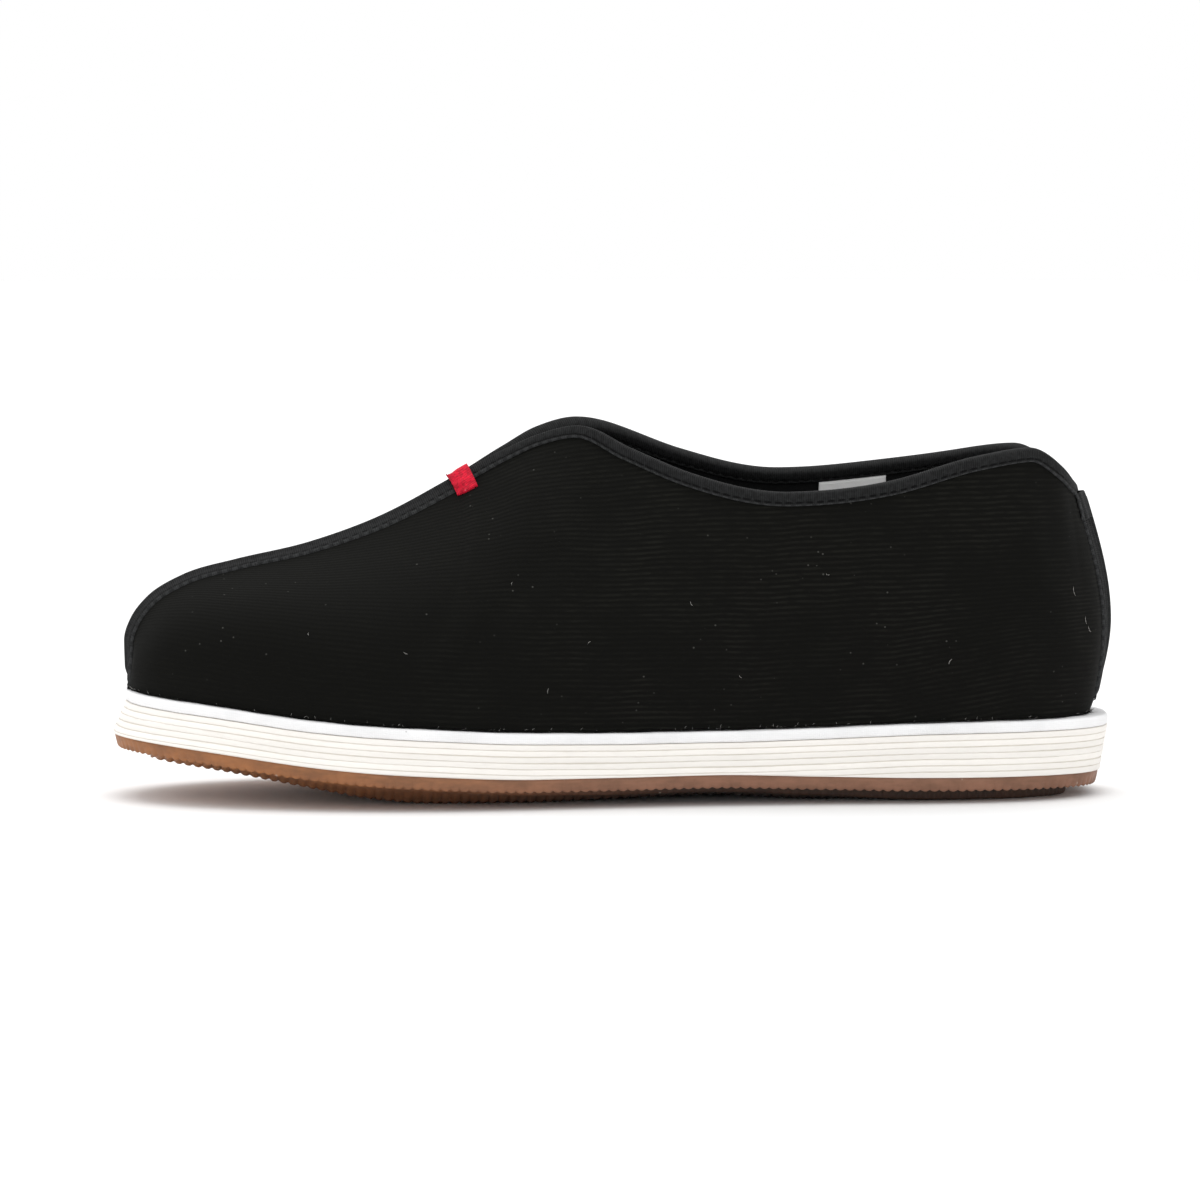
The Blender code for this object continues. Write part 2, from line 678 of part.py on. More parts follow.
def saddle(name, place, along, reach, rows, finish):
    """A strip bent over a seam, between its rows under and over."""
    under, over = rows
    section = [*bent(place, along, reach, over), *bent(place, along, reach, under)[::-1]]
    return swept(name, np.stack(section, axis=1), finish)


def seam_tape(name, place, along):
    """The tapes of both panels where they are sewn side by side: a low ridge with a seam."""
    over = [
        (1.0, GAP + TAPE_EDGE),
        (0.86, GAP + TAPE),
        (0.45, GAP + TAPE),
        (0.16, GAP + RIDGE_ROLL),
        (0.0, GAP + TAPE),
    ]
    under = [(1.0, GAP), (0.5, GAP), (0.0, GAP)]
    return saddle(name, place, along, TAPE_WIDTH, (under, over), TAPE_COTTON)


def collar_tape(name, side):
    """Tape folded over the free edge of one panel, from the front tab to the back tab."""
    stations = station_list(SLIT_FULL, NOTCH_FULL)
    out, back = -(TAPE_CLEARANCE + TAPE), WALL + TAPE_CLEARANCE + TAPE
    fold = -(TAPE_CLEARANCE + TAPE)
    profile = [
        (TAPE_LEG, -(TAPE_CLEARANCE + TAPE_EDGE)),
        (TAPE_LEG - TAPE_EDGE, out),
        (TAPE_EDGE, out),
        (fold + TAPE_EDGE, out + TAPE_EDGE),
        (fold, WALL / 2),
        (fold + TAPE_EDGE, back - TAPE_EDGE),
        (TAPE_EDGE, back),
        (TAPE_LEG, back),
        (TAPE_LEG, WALL + TAPE_CLEARANCE),
        (-TAPE_CLEARANCE, WALL + TAPE_CLEARANCE),
        (-TAPE_CLEARANCE, -TAPE_CLEARANCE),
        (TAPE_LEG, -TAPE_CLEARANCE),
    ]
    sections = [off_edge(stations, down, depth, side) for down, depth in profile]
    return swept(name, np.stack(sections, axis=1), TAPE_COTTON)


def tab(name, place, along, finish):
    """A short tape folded over a seam, where the collar's opening starts. It lies over the tapes
    and comes down to the cloth past their edges."""
    crown = 3 * GAP + RIDGE_ROLL
    side = GAP + TAPE_CLEARANCE + TAPE
    edge = TAPE_WIDTH / TAB_REACH
    step = TAB / TAB_REACH
    under = [(1.0, GAP), (edge + step, GAP), (edge, side), (0.4, side), (0.16, crown), (0.0, crown)]
    over = [
        (1.0, GAP + TAB),
        (edge + 2 * step, GAP + TAB),
        (edge + step / 2, side + TAB),
        (0.4, side + TAB),
        (0.16, crown + TAB),
        (0.0, crown + TAB),
    ]
    return saddle(name, place, along, TAB_REACH, (under, over), finish)


def make_label():
    """A bare woven label on the lining, under the collar tape of the inner side."""
    collar = slice(KEYS.index("peak"), KEYS.index("heel_seam"))
    middle = np.interp(-LABEL_ALONG, -column(HOOPS, "along")[collar], KNOTS[collar])
    stations = middle + LABEL_LENGTH * np.linspace(-0.5, 0.5, 4)
    top, bottom = TAPE_LEG + GAP, TAPE_LEG + GAP + LABEL_HEIGHT
    near, far = WALL + GAP, WALL + GAP + LABEL
    rows = [(top, near), ((top + bottom) / 2, near), (bottom, near)]
    rows += [(bottom, far), ((top + bottom) / 2, far), (top, far)]
    sections = [off_edge(stations, down, depth, MEDIAL) for down, depth in rows]
    return swept("label", np.stack(sections, axis=1), LABEL_CLOTH)


for leftover in list(bpy.data.objects):
    bpy.data.objects.remove(leftover)
SHOE = bpy.data.collections.new("cloth_shoe")
bpy.context.scene.collection.children.link(SHOE)

make_outsole()
make_midsole()
make_welt()
make_insole()
make_upper()
seam_tape("vamp_tape", off_edge, station_list(TAPE_END, SLIT_START))
BACK_SEAM = panel(np.array([NOTCH_END, NOTCH_END]), np.array([0.0, 1.0]), LATERAL)[:, 2]
seam_tape("heel_tape", off_seam, np.linspace(BACK_SEAM[0] + TAPE_END, BACK_SEAM[1] - HEEL_TAB_OVERLAP, 9))
collar_tape("collar_tape_lateral", LATERAL)
collar_tape("collar_tape_medial", MEDIAL)
tab("throat_tab", off_edge, FRONT_TAB + TAB_WIDTH * TAB_CUTS, RED_COTTON)
tab("heel_tab", off_seam, BACK_SEAM[1] - HEEL_TAB_DROP - TAB_WIDTH * (TAB_CUTS + 0.5), TAPE_COTTON)
make_label()
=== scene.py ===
"""Black cloth shoe: its corduroy, tapes, tabs, stitches, layered sole and lint, made on the frame
of its plain solids, with a stage for a studio picture.

Metres. +X points to the toe, +Y to the outer side of the foot and +Z up."""

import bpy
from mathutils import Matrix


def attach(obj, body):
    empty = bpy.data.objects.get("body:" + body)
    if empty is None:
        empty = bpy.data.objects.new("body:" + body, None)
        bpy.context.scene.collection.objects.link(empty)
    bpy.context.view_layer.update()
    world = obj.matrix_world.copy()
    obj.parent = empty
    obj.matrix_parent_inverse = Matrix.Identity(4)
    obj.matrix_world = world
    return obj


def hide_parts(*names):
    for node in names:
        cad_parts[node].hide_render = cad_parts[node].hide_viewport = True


bl_info = {
    "name": "Cloth Shoe Dresser",
    "version": (1, 0, 0),
    "blender": (4, 5, 0),
    "location": "3D View > Sidebar > Cloth Shoe",
    "description": "Dresses a corduroy shoe with a layered sole on its frame",
    "category": "Object",
}

from collections import namedtuple

import bmesh
import bpy
import numpy as np
from bpy.props import FloatProperty, FloatVectorProperty, IntProperty, PointerProperty
from mathutils import Vector

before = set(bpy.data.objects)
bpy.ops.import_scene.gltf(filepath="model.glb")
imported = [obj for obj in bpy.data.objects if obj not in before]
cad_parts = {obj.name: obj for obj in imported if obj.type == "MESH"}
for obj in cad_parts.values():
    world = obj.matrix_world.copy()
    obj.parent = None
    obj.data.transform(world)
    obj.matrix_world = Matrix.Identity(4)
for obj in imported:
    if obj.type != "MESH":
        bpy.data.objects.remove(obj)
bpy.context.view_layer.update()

MM = 0.001
CM = 0.01
LATERAL, MEDIAL = 1, -1
BODY = "root"

# The last and the sole, as the frame's solids have them
SOLE_LENGTH = 288.0 * MM
BALL_WIDTH = 103.0 * MM
TOE_SPRING = 11.0 * MM
PAD_HEIGHT = 4.0 * MM
OUTSOLE_WALL = 3.4 * MM
MIDSOLE_HEEL = 12.8 * MM
WELT_THICKNESS = 3.2 * MM
TOE_ROUNDNESS = 2.35
HEEL_ROUNDNESS = 2.6
TOE_FLARE = 3.8 * MM
SIDE_FLARE = 1.2 * MM
HEEL_TUCK = 2.4 * MM
OUTSOLE_STEP = 0.6 * MM
OUTSOLE_WALL_DRAFT = 0.9 * MM
PAD_INSET = 8.0 * MM
PAD_DRAFT = 0.5 * MM
PAD_FLAT_SHARE = 0.72
MIDSOLE_LAYERS = 7
LAYER_PITCH = 1.75 * MM
LAYER_LEAST = 0.12 * MM
UPPER_HEIGHT = 88.0 * MM
WALL = 2.4 * MM
TOE_LEDGE = 1.4 * MM
SIDE_LEDGE = 2.6 * MM
HEEL_LEDGE = 5.4 * MM
INSOLE_THICKNESS = 3.5 * MM
INSOLE_CLEARANCE = 0.6 * MM
TAPE = 1.0 * MM
TAPE_END = 1.5 * MM
TAPE_CLEARANCE = 0.45 * MM
SLIT_HALF_GAP = 2.0 * MM
SLIT_OPENING = 2.8 * MM
NOTCH_OPENING = 1.8 * MM
SEAM_SEARCH = 26.0 * MM
COLLAR_OPEN = 10.0 * MM
EDGE_STEP = 2.0 * MM
TAB_WIDTH = 6.6 * MM
TAB_REACH = 6.9 * MM
TAB = 0.7 * MM
LABEL_LENGTH = 20.0 * MM
LABEL_HEIGHT = 12.0 * MM
LABEL = 0.4 * MM
LABEL_ALONG = 0.245
HEEL_TAB_DROP = 2.3 * MM
HEEL_TAB_OVERLAP = 3.4 * MM
GAP = 0.3 * MM
WELD = 0.002 * MM

# Steps that directions are measured over
PLACE_STEP = 0.004
STATION_STEP = 0.5 * MM
SHARE_STEP = 0.02

# The way through the wall is measured no nearer the toe's foot than this. A panel is near its
# foot below one share of its height, and near its bound edge above the other. Sizes round the
# sole change before one place on its outline and past the other.
TOE_CLEAR = 6.0 * MM
NEAR_FOOT = 0.2
NEAR_EDGE = 0.6
TOE_PART, HEEL_PART = 0.28, 0.72

# How the scene's pieces depart from the plain solids
COLLAR_TAPE_REACH = 1.1 * MM
THROAT_TAB_SHIFT = 1.5 * MM
THROAT_TAB_RISE = 2.75 * MM
HEEL_TAB_SHIFT = 0.9 * MM
HEEL_TAB_RISE = 2.6 * MM
FAR_ROLL = 1.5 * MM
FAR_ROLL_MIDDLE = 1.3 * MM
FAR_ROLL_WIDTH = 1.1 * MM

# How far the stitches lie in from a collar tape's edge, and how far a row stops from its end
STITCH_DROP = 0.85 * MM
STITCH_MARGIN = 3 * MM

# Sections of the outsole: shares of the way down and insets in millimetres, of its wall and of
# the pad under it
Section = namedtuple("Section", "down inset")
WALL_SECTION = [
    Section(0.00, 0.35),
    Section(0.06, 0.00),
    Section(0.30, 0.05),
    Section(0.60, 0.35),
    Section(0.85, 0.60),
    Section(0.95, 0.78),
    Section(1.00, 1.10),
    Section(1.00, 2.20),
    Section(1.00, 3.60),
]
PAD_SECTION = [
    Section(0.00, 0.00),
    Section(0.12, 0.00),
    Section(0.35, 0.00),
    Section(0.60, 0.00),
    Section(0.82, 0.05),
    Section(0.94, 0.30),
    Section(1.00, 0.80),
]

# Rows of the mesh in each layer of the midsole, as shares of the way down it
LAYER_ROWS = np.array([0.02, 0.08, 0.2, 0.38, 0.62, 0.8, 0.92, 0.98])

# Columns of the grids that lie across the sole
LID_COLUMNS = 5
TREAD_COLUMNS = 33
INSOLE_COLUMNS = 41

# Small sizes of the sole's layers, which the plain solids leave out
OUTSOLE_LAP = 0.22 * MM
WALL_WAVER = 0.12 * MM
WALL_SCALLOP = 0.10 * MM
MIDSOLE_SLACK = 0.1 * MM
LAYER_TILT = 0.12 * MM
WELT_LIFT = 0.05 * MM
WELT_SWELL = 0.30 * MM
WELT_DISH = 0.12 * MM
SHELF_UNDER = 1.2 * MM
HEEL_DISH, HEEL_DISH_WIDTH = -100 * MM, 34 * MM
BALL_DISH, BALL_DISH_WIDTH = 62 * MM, 45 * MM
BALL_DISH_SHARE = 0.8

# The wales climb behind this x, by this angle and no farther than this, less and less from one
# height to the other. They and the folds fade in between two distances from an edge.
CLIMB_X = -78 * MM
CLIMB_DEGREES = 8
CLIMB_REACH = 40 * MM
CLIMB_FADE = (12 * MM, 44 * MM)
WALES_BELOW = 7 * MM
WALE_FADE = (2.2 * MM, 5.6 * MM)
FOLD_FOOT_FADE = (0.0, 9 * MM)
FOLD_EDGE_FADE = (2 * MM, 12 * MM)

# The stitched tape of the seams: millimetres down the panel and out of it
SEAM_SECTION = [
    (4.75, 0.10),
    (4.70, 0.62),
    (4.45, 0.92),
    (4.15, 0.95),
    (3.95, 0.74),
    (3.75, 0.90),
    (3.40, 1.05),
    (2.60, 1.12),
    (1.90, 1.22),
    (1.45, 1.45),
    (1.10, 1.62),
    (0.75, 1.62),
    (0.42, 1.40),
    (0.20, 1.00),
    (0.08, 0.55),
    (0.00, 0.42),
]

# The photograph's scale, what the camera and the lights look at, and the lights' places
PICTURE_WIDTH = 1200
MM_A_PIXEL = 0.2892
SHOE_MIDDLE = (0.0, 0.0, 50 * MM)
OVERHEAD_PLACE = (0.15, -0.3, 1.6)
FRONT_PLACE = (0.7, 1.9, 0.7)

# The sole's outline: half widths on both sides, as shares of half the ball's width, at shares of
# its length from the heel
Outline = namedtuple("Outline", "along lateral medial")
OUTLINE = [
    Outline(0.00, 0.930, 0.900),
    Outline(0.10, 0.900, 0.870),
    Outline(0.20, 0.830, 0.785),
    Outline(0.30, 0.770, 0.710),
    Outline(0.40, 0.780, 0.705),
    Outline(0.50, 0.850, 0.780),
    Outline(0.60, 0.955, 0.905),
    Outline(0.70, 1.045, 1.030),
    Outline(0.80, 1.085, 1.115),
    Outline(0.90, 1.080, 1.145),
    Outline(1.00, 1.060, 1.140),
]

# The sole from the side: the plate's and the tread's heights, as shares of the toe's spring, the
# layers' height, as a share of that at the heel, and how far the pad's side comes down, as a
# share of the pad's height
Profile = namedtuple("Profile", "along spring midsole keel pad_side")
PROFILE = [
    Profile(0.00, -0.04, 1.020, 0.00, 0.93),
    Profile(0.10, -0.01, 1.000, 0.00, 0.93),
    Profile(0.20, 0.01, 0.960, 0.00, 0.92),
    Profile(0.30, 0.07, 0.830, 0.00, 0.75),
    Profile(0.40, 0.14, 0.725, 0.14, 0.62),
    Profile(0.50, 0.12, 0.735, 0.06, 0.62),
    Profile(0.58, 0.12, 0.770, 0.00, 0.50),
    Profile(0.68, 0.22, 0.790, 0.00, 0.42),
    Profile(0.75, 0.33, 0.785, 0.14, 0.42),
    Profile(0.80, 0.45, 0.775, 0.34, 0.42),
    Profile(0.90, 0.77, 0.765, 0.76, 0.40),
    Profile(1.00, 1.05, 0.725, 1.06, 0.40),
]

# The upper's hoops, toe to heel. Of the bound edge: its share of the way along from the heel, its
# height as a share of the upper's, how much more that is on the inner side, and its distance
# from the middle plane, as a share of the ball's width. Of the hoop: its foot's place on the
# outline, its lean outward there, the way that its face looks at the edge, 0 up and 90 out, in
# degrees, and how far each end pulls on the curve, as a share of its chord.
Hoop = namedtuple("Hoop", "name along rise medial_up gap foot lean fall foot_pull edge_pull")
HOOPS = [
    Hoop("toe_foot", 1.0000, 0.000, 0.000, 0.000, 0.000, 10, 20, 0.52, 0.52),
    Hoop("toe_front_low", 1.0010, 0.075, 0.000, 0.000, 0.022, 10, 20, 0.52, 0.52),
    Hoop("toe_front", 1.0016, 0.155, 0.000, 0.000, 0.048, 9, 20, 0.52, 0.52),
    Hoop("toe_turn", 0.9956, 0.220, 0.000, 0.000, 0.076, 8, 20, 0.50, 0.52),
    Hoop("toe_brow", 0.9784, 0.295, 0.000, 0.000, 0.114, 8, 19, 0.53, 0.55),
    Hoop("toe_top", 0.9442, 0.370, 0.000, 0.000, 0.160, 8, 18, 0.54, 0.56),
    Hoop("vamp_low", 0.8896, 0.438, 0.000, 0.000, 0.222, 8, 18, 0.53, 0.56),
    Hoop("vamp", 0.8138, 0.522, 0.000, 0.000, 0.284, 8, 21, 0.50, 0.54),
    Hoop("vamp_high", 0.7390, 0.626, 0.000, 0.000, 0.335, 7, 27, 0.46, 0.48),
    Hoop("throat_tab", 0.6595, 0.772, 0.000, 0.000, 0.382, 7, 35, 0.42, 0.40),
    Hoop("throat", 0.6101, 0.868, 0.008, 0.012, 0.412, 7, 38, 0.40, 0.37),
    Hoop("throat_top", 0.5748, 0.925, 0.016, 0.044, 0.436, 7, 42, 0.40, 0.35),
    Hoop("peak", 0.5343, 0.958, 0.014, 0.085, 0.460, 7, 53, 0.39, 0.34),
    Hoop("shoulder", 0.4844, 0.893, 0.042, 0.150, 0.492, 7, 61, 0.37, 0.33),
    Hoop("slope", 0.4221, 0.813, 0.043, 0.222, 0.532, 8, 69, 0.35, 0.33),
    Hoop("dip", 0.3192, 0.750, 0.033, 0.274, 0.604, 9, 77, 0.34, 0.33),
    Hoop("quarter", 0.2184, 0.774, 0.019, 0.292, 0.678, 9, 79, 0.34, 0.33),
    Hoop("quarter_high", 0.1249, 0.848, -0.021, 0.268, 0.749, 9, 79, 0.34, 0.33),
    Hoop("heel_top", 0.0709, 0.869, -0.019, 0.206, 0.812, 9, 79, 0.35, 0.34),
    Hoop("heel_corner", 0.0350, 0.800, -0.010, 0.132, 0.872, 10, 78, 0.37, 0.36),
    Hoop("heel_turn", 0.0225, 0.754, -0.004, 0.060, 0.934, 12, 77, 0.40, 0.38),
    Hoop("heel_seam", 0.0155, 0.731, 0.000, 0.000, 1.000, 15, 73, 0.42, 0.40),
]

# Soft folds of the cloth: a line on the side view, its half width and its depth. A fold below 0
# is a trough and one above 0 a ridge. side is LATERAL, MEDIAL or 0 for both.
Fold = namedtuple("Fold", "x1 z1 x2 z2 width depth side")
FOLDS = [
    Fold(52, 34, 20, 70, 7.0, -0.45, 0),
    Fold(70, 33, 44, 60, 6.0, -0.40, LATERAL),
    Fold(60, 32, 34, 64, 5.0, 0.25, LATERAL),
    Fold(12, 96, -12, 62, 9.0, -0.50, 0),
    Fold(-52, 84, -40, 44, 14.0, -0.70, 0),
    Fold(-96, 30, -112, 66, 9.0, -0.40, LATERAL),
    Fold(-118, 84, -128, 50, 6.0, 0.35, 0),
    Fold(104, 36, 84, 50, 7.0, -0.30, MEDIAL),
    Fold(128, 38, 112, 40, 5.0, -0.25, LATERAL),
]

# Fibres of lint that show on the outer panel: place on the side view, length and turn in degrees
Lint = namedtuple("Lint", "x z length turn")
LINT = [
    Lint(-132.0, 59.5, 3.0, 70),
    Lint(-135.5, 51.0, 2.2, 80),
    Lint(-137.0, 48.5, 2.4, 40),
    Lint(-95.0, 41.0, 1.8, 120),
    Lint(-60.0, 66.0, 1.2, 10),
    Lint(-21.0, 58.0, 1.5, 60),
    Lint(8.0, 47.0, 1.1, 150),
    Lint(30.0, 64.0, 1.0, 95),
    Lint(61.0, 45.0, 1.3, 30),
    Lint(88.0, 50.0, 0.9, 75),
    Lint(20.0, 34.0, 1.6, 100),
    Lint(-35.0, 37.0, 1.2, 45),
]

# Ranges of the nap's hairs: lengths in millimetres, and parts of a way aside and up for each part
# of the way out
HAIR_LENGTHS = (0.5, 1.6)
HAIR_LEANS = (-0.8, 0.8)
HAIR_LIFTS = (0.1, 0.7)


def column(rows, name):
    """One named column of a table."""
    return np.array([getattr(row, name) for row in rows], float)


def smooth(knots, values, at):
    """A curve through the values: cubics that share their slopes and don't overshoot."""
    steps = np.diff(knots)
    rises = np.diff(values) / steps
    slopes = np.gradient(values, knots)
    limit = 3 * np.minimum(abs(rises[:-1]), abs(rises[1:]))
    turning = rises[:-1] * rises[1:] <= 0
    slopes[1:-1] = np.where(turning, 0, np.clip(slopes[1:-1], -limit, limit))
    at = np.asarray(at, float)
    i = np.clip(np.searchsorted(knots, at, side="right") - 1, 0, len(steps) - 1)
    t = np.clip((at - knots[i]) / steps[i], 0, 1)
    bend = (1 - t) * slopes[i] - t * slopes[i + 1]
    twist = (2 * t - 1) * (values[i + 1] - values[i])
    start = values[i] + t * (values[i + 1] - values[i])
    return start + t * (1 - t) * (bend * steps[i] + twist)


def from_table(rows, name, along):
    """A table's column at any share of the sole's length."""
    return smooth(column(rows, "along"), column(rows, name), along)


def along_of(x):
    """Share of the sole's length at x: 0 at the heel, 1 at the toe."""
    return np.clip(x / SOLE_LENGTH + 0.5, 0, 1)


def unit(vectors):
    """Vectors of length 1."""
    return vectors / np.maximum(np.linalg.norm(vectors, axis=-1, keepdims=True), 1e-12)


def rise_to(edge0, edge1, values):
    """0 before the first value, 1 past the second, and a soft step between."""
    t = np.clip((values - edge0) / (edge1 - edge0), 0, 1)
    return t * t * (3 - 2 * t)


def bell(at, middle, width):
    """e to the power of minus the square of the way from the middle, in widths."""
    return np.exp(-(((at - middle) / width) ** 2))


def waves(at, lengths, seed):
    """Sum of sines of the given wave lengths, with fixed offsets, between about -1 and 1."""
    offsets = np.random.default_rng(seed).uniform(0, 2 * np.pi, len(lengths))
    total = sum(np.sin(2 * np.pi * at / length + offset) for length, offset in zip(lengths, offsets))
    return total / len(lengths)


# Heights of the sole's layers at any x


def plate_bottom(x):
    """Underside of the rubber plate, which springs up at the toe."""
    return PAD_HEIGHT + TOE_SPRING * from_table(PROFILE, "spring", along_of(x))


def midsole_bottom(x):
    """Where the stacked layers start."""
    return plate_bottom(x) + OUTSOLE_WALL


def midsole_thickness(x):
    """Height of all the stacked layers."""
    return MIDSOLE_HEEL * from_table(PROFILE, "midsole", along_of(x))


def welt_bottom(x):
    """Top of the stacked layers."""
    return midsole_bottom(x) + midsole_thickness(x)


def sole_top(x):
    """Top of the welt, where the upper stands."""
    return welt_bottom(x) + WELT_THICKNESS


# Plan of the sole


def widest_outline(place, side):
    """The sole's widest outline on one side, at a place from 0 at the toe to 1 at the heel."""
    turn = np.cos(np.pi * place)
    along = (1 + turn) / 2
    name = "lateral" if side == LATERAL else "medial"
    half = from_table(OUTLINE, name, along) * BALL_WIDTH / 2
    power = np.where(turn > 0, TOE_ROUNDNESS, HEEL_ROUNDNESS)
    rounding = np.maximum(1 - abs(turn) ** power, 0) ** (1 / power)
    y = side * np.sign(np.sin(np.pi * place)) * half * rounding
    return np.stack([SOLE_LENGTH * (along - 0.5), y], axis=-1)


def outline(place, side, inset):
    """The widest outline moved in by inset. Also gives its outward direction."""
    place = np.asarray(place, float)
    ahead = widest_outline(place + PLACE_STEP, side) - widest_outline(place - PLACE_STEP, side)
    outward = unit(np.stack([side * ahead[..., 1], -side * ahead[..., 0]], axis=-1))
    base = widest_outline(place, side)
    return base - outward * np.asarray(inset)[..., None], outward


def by_place(toe, side, heel, place):
    """A size that changes from toe to side to heel."""
    knots = np.array([0.0, TOE_PART, HEEL_PART, 1.0])
    return smooth(knots, np.array([toe, side, side, heel]), place)


def top_inset(place):
    """How far the layers' top lies in from the widest outline."""
    return by_place(TOE_FLARE, SIDE_FLARE, 0.0, place)


def bottom_inset(place):
    """How far the layers' bottom lies in from the widest outline."""
    return by_place(0.0, SIDE_FLARE / 3, HEEL_TUCK, place)


def ledge(place):
    """Width of the welt's bare top, outside the upper."""
    return by_place(TOE_LEDGE, SIDE_LEDGE, HEEL_LEDGE, place)


# The upper's panels, hoop by hoop

KEYS = [hoop.name for hoop in HOOPS]


def foot_x(place):
    """Where the upper's foot crosses the middle plane, at the toe or at the heel."""
    inset = top_inset(place) + ledge(place)
    return np.cos(np.pi * place) * (SOLE_LENGTH / 2 - inset)


def bound_edge_x(along):
    """x at a share of the way from the heel's foot to the toe's foot."""
    return foot_x(1.0) + along * (foot_x(0.0) - foot_x(1.0))


def bound_edge_height(x, rise):
    """Height over the sole at x, from a share of the upper's height."""
    return sole_top(x) + GAP + rise * UPPER_HEIGHT


def edge_knots():
    """Distance along the bound edge to each hoop, for the curve through them."""
    x = bound_edge_x(column(HOOPS, "along"))
    z = bound_edge_height(x, column(HOOPS, "rise"))
    steps = np.hypot(np.diff(x), np.diff(z))
    return np.concatenate([[0.0], np.cumsum(steps)])


KNOTS = edge_knots()


def hoop_value(station, name):
    """A column of the hoop table at any distance along the bound edge."""
    return smooth(KNOTS, column(HOOPS, name), station)


def station_of(name):
    """Distance along the bound edge to a named hoop."""
    return KNOTS[KEYS.index(name)]


FRONT_TAB = station_of("throat_tab")
SLIT_START = FRONT_TAB - SLIT_OPENING / 2
SLIT_FULL = FRONT_TAB + SLIT_OPENING / 2
NOTCH_END = KNOTS[-1]
NOTCH_FULL = NOTCH_END - NOTCH_OPENING


def half_gap(station):
    """From the middle plane to the bound edge: none where the panels are sewn together."""
    opened = np.interp(station, [SLIT_START, SLIT_FULL, NOTCH_FULL, NOTCH_END], [0, 1, 1, 0])
    return opened * (SLIT_HALF_GAP + hoop_value(station, "gap") * BALL_WIDTH)


def bound_edge(station, side):
    """The panel's bound edge: up the toe, back along the vamp and round the collar."""
    x = bound_edge_x(hoop_value(station, "along"))
    rise = hoop_value(station, "rise")
    if side == MEDIAL:
        rise = rise + hoop_value(station, "medial_up")
    return np.stack([x, side * half_gap(station), bound_edge_height(x, rise)], axis=-1)


def edge_ahead(station, side):
    """Along the bound edge, from the toe to the heel, as if the slit opened without a step."""
    low = np.clip(station - EDGE_STEP, 0, KNOTS[-1])
    high = np.clip(station + EDGE_STEP, 0, KNOTS[-1])
    ahead = bound_edge(high, side) - bound_edge(low, side)
    ahead[..., 1] = side * BALL_WIDTH * (hoop_value(high, "gap") - hoop_value(low, "gap"))
    return unit(ahead)


def collar_opened(station):
    """0 where the panels are sewn together, 1 where the collar is open."""
    return np.clip(hoop_value(station, "gap") * BALL_WIDTH / COLLAR_OPEN, 0, 1)[..., None]


def across(station, side):
    """Along the panel's face, square to its bound edge and away from it: the cross product of the
    edge and the way the face looks there, which is out and up."""
    ahead = edge_ahead(station, side)
    x, y, z = np.moveaxis(ahead, -1, 0)
    opened = collar_opened(station)
    behind = station > station_of("dip")
    at_seam = np.stack([-1.0 * behind, side * (1.0 - behind), 0 * z], axis=-1)
    at_collar = unit(side * np.stack([y, -x, 0 * z], axis=-1))
    outward = unit(at_seam + opened * (at_collar - at_seam))
    square = unit(np.stack([z, 0 * y, -x], axis=-1))
    upright = np.maximum(opened, behind[..., None])
    up = unit(square + upright * (np.array([0.0, 0.0, 1.0]) - square))
    fall = np.radians(hoop_value(station, "fall"))[..., None]
    looks = np.sin(fall) * outward + np.cos(fall) * up
    return unit(side * np.cross(ahead, looks))


def leaving(station, side):
    """The way a hoop leaves the bound edge along the panel's face: square to the front seam, and
    straight down where the collar is open and at the back seam."""
    ahead = edge_ahead(station, side)
    away = across(station, side)
    down = unit(-ahead[..., 2:] * ahead - away[..., 2:] * away)
    straight = np.maximum(collar_opened(station), (station > station_of("dip"))[..., None])
    return unit(away + straight * (down - away))


def foot_line(station, side):
    """Where the hoop stands on the sole, and the way out from there."""
    place = hoop_value(station, "foot")
    plan, outward = outline(place, side, top_inset(place) + ledge(place))
    ends = (place <= 0) | (place >= 1)
    plan[..., 1] = np.where(ends, 0, plan[..., 1])
    height = sole_top(plan[..., 0]) + GAP
    outward = np.concatenate([outward, 0 * outward[..., :1]], axis=-1)
    return np.concatenate([plan, height[..., None]], axis=-1), outward


def panel(station, share, side):
    """A point of the panel's outer face: a cubic curve from the foot, share 0, to the edge, 1."""
    foot, outward = foot_line(station, side)
    edge = bound_edge(station, side)
    chord = np.linalg.norm(edge - foot, axis=-1, keepdims=True)
    lean = np.radians(hoop_value(station, "lean"))[..., None]
    rising = np.cos(lean) * np.array([0.0, 0.0, 1.0]) + np.sin(lean) * outward
    foot_pull = hoop_value(station, "foot_pull")[..., None]
    edge_pull = hoop_value(station, "edge_pull")[..., None]
    low = foot + foot_pull * chord * rising
    high = edge + edge_pull * chord * leaving(station, side)
    t = np.asarray(share)[..., None]
    return (1 - t) ** 3 * foot + 3 * t * (1 - t) ** 2 * low + 3 * t**2 * (1 - t) * high + t**3 * edge


def net_of(stations, shares):
    """Every station with every share, as two grids."""
    return np.meshgrid(stations, shares, indexing="ij")


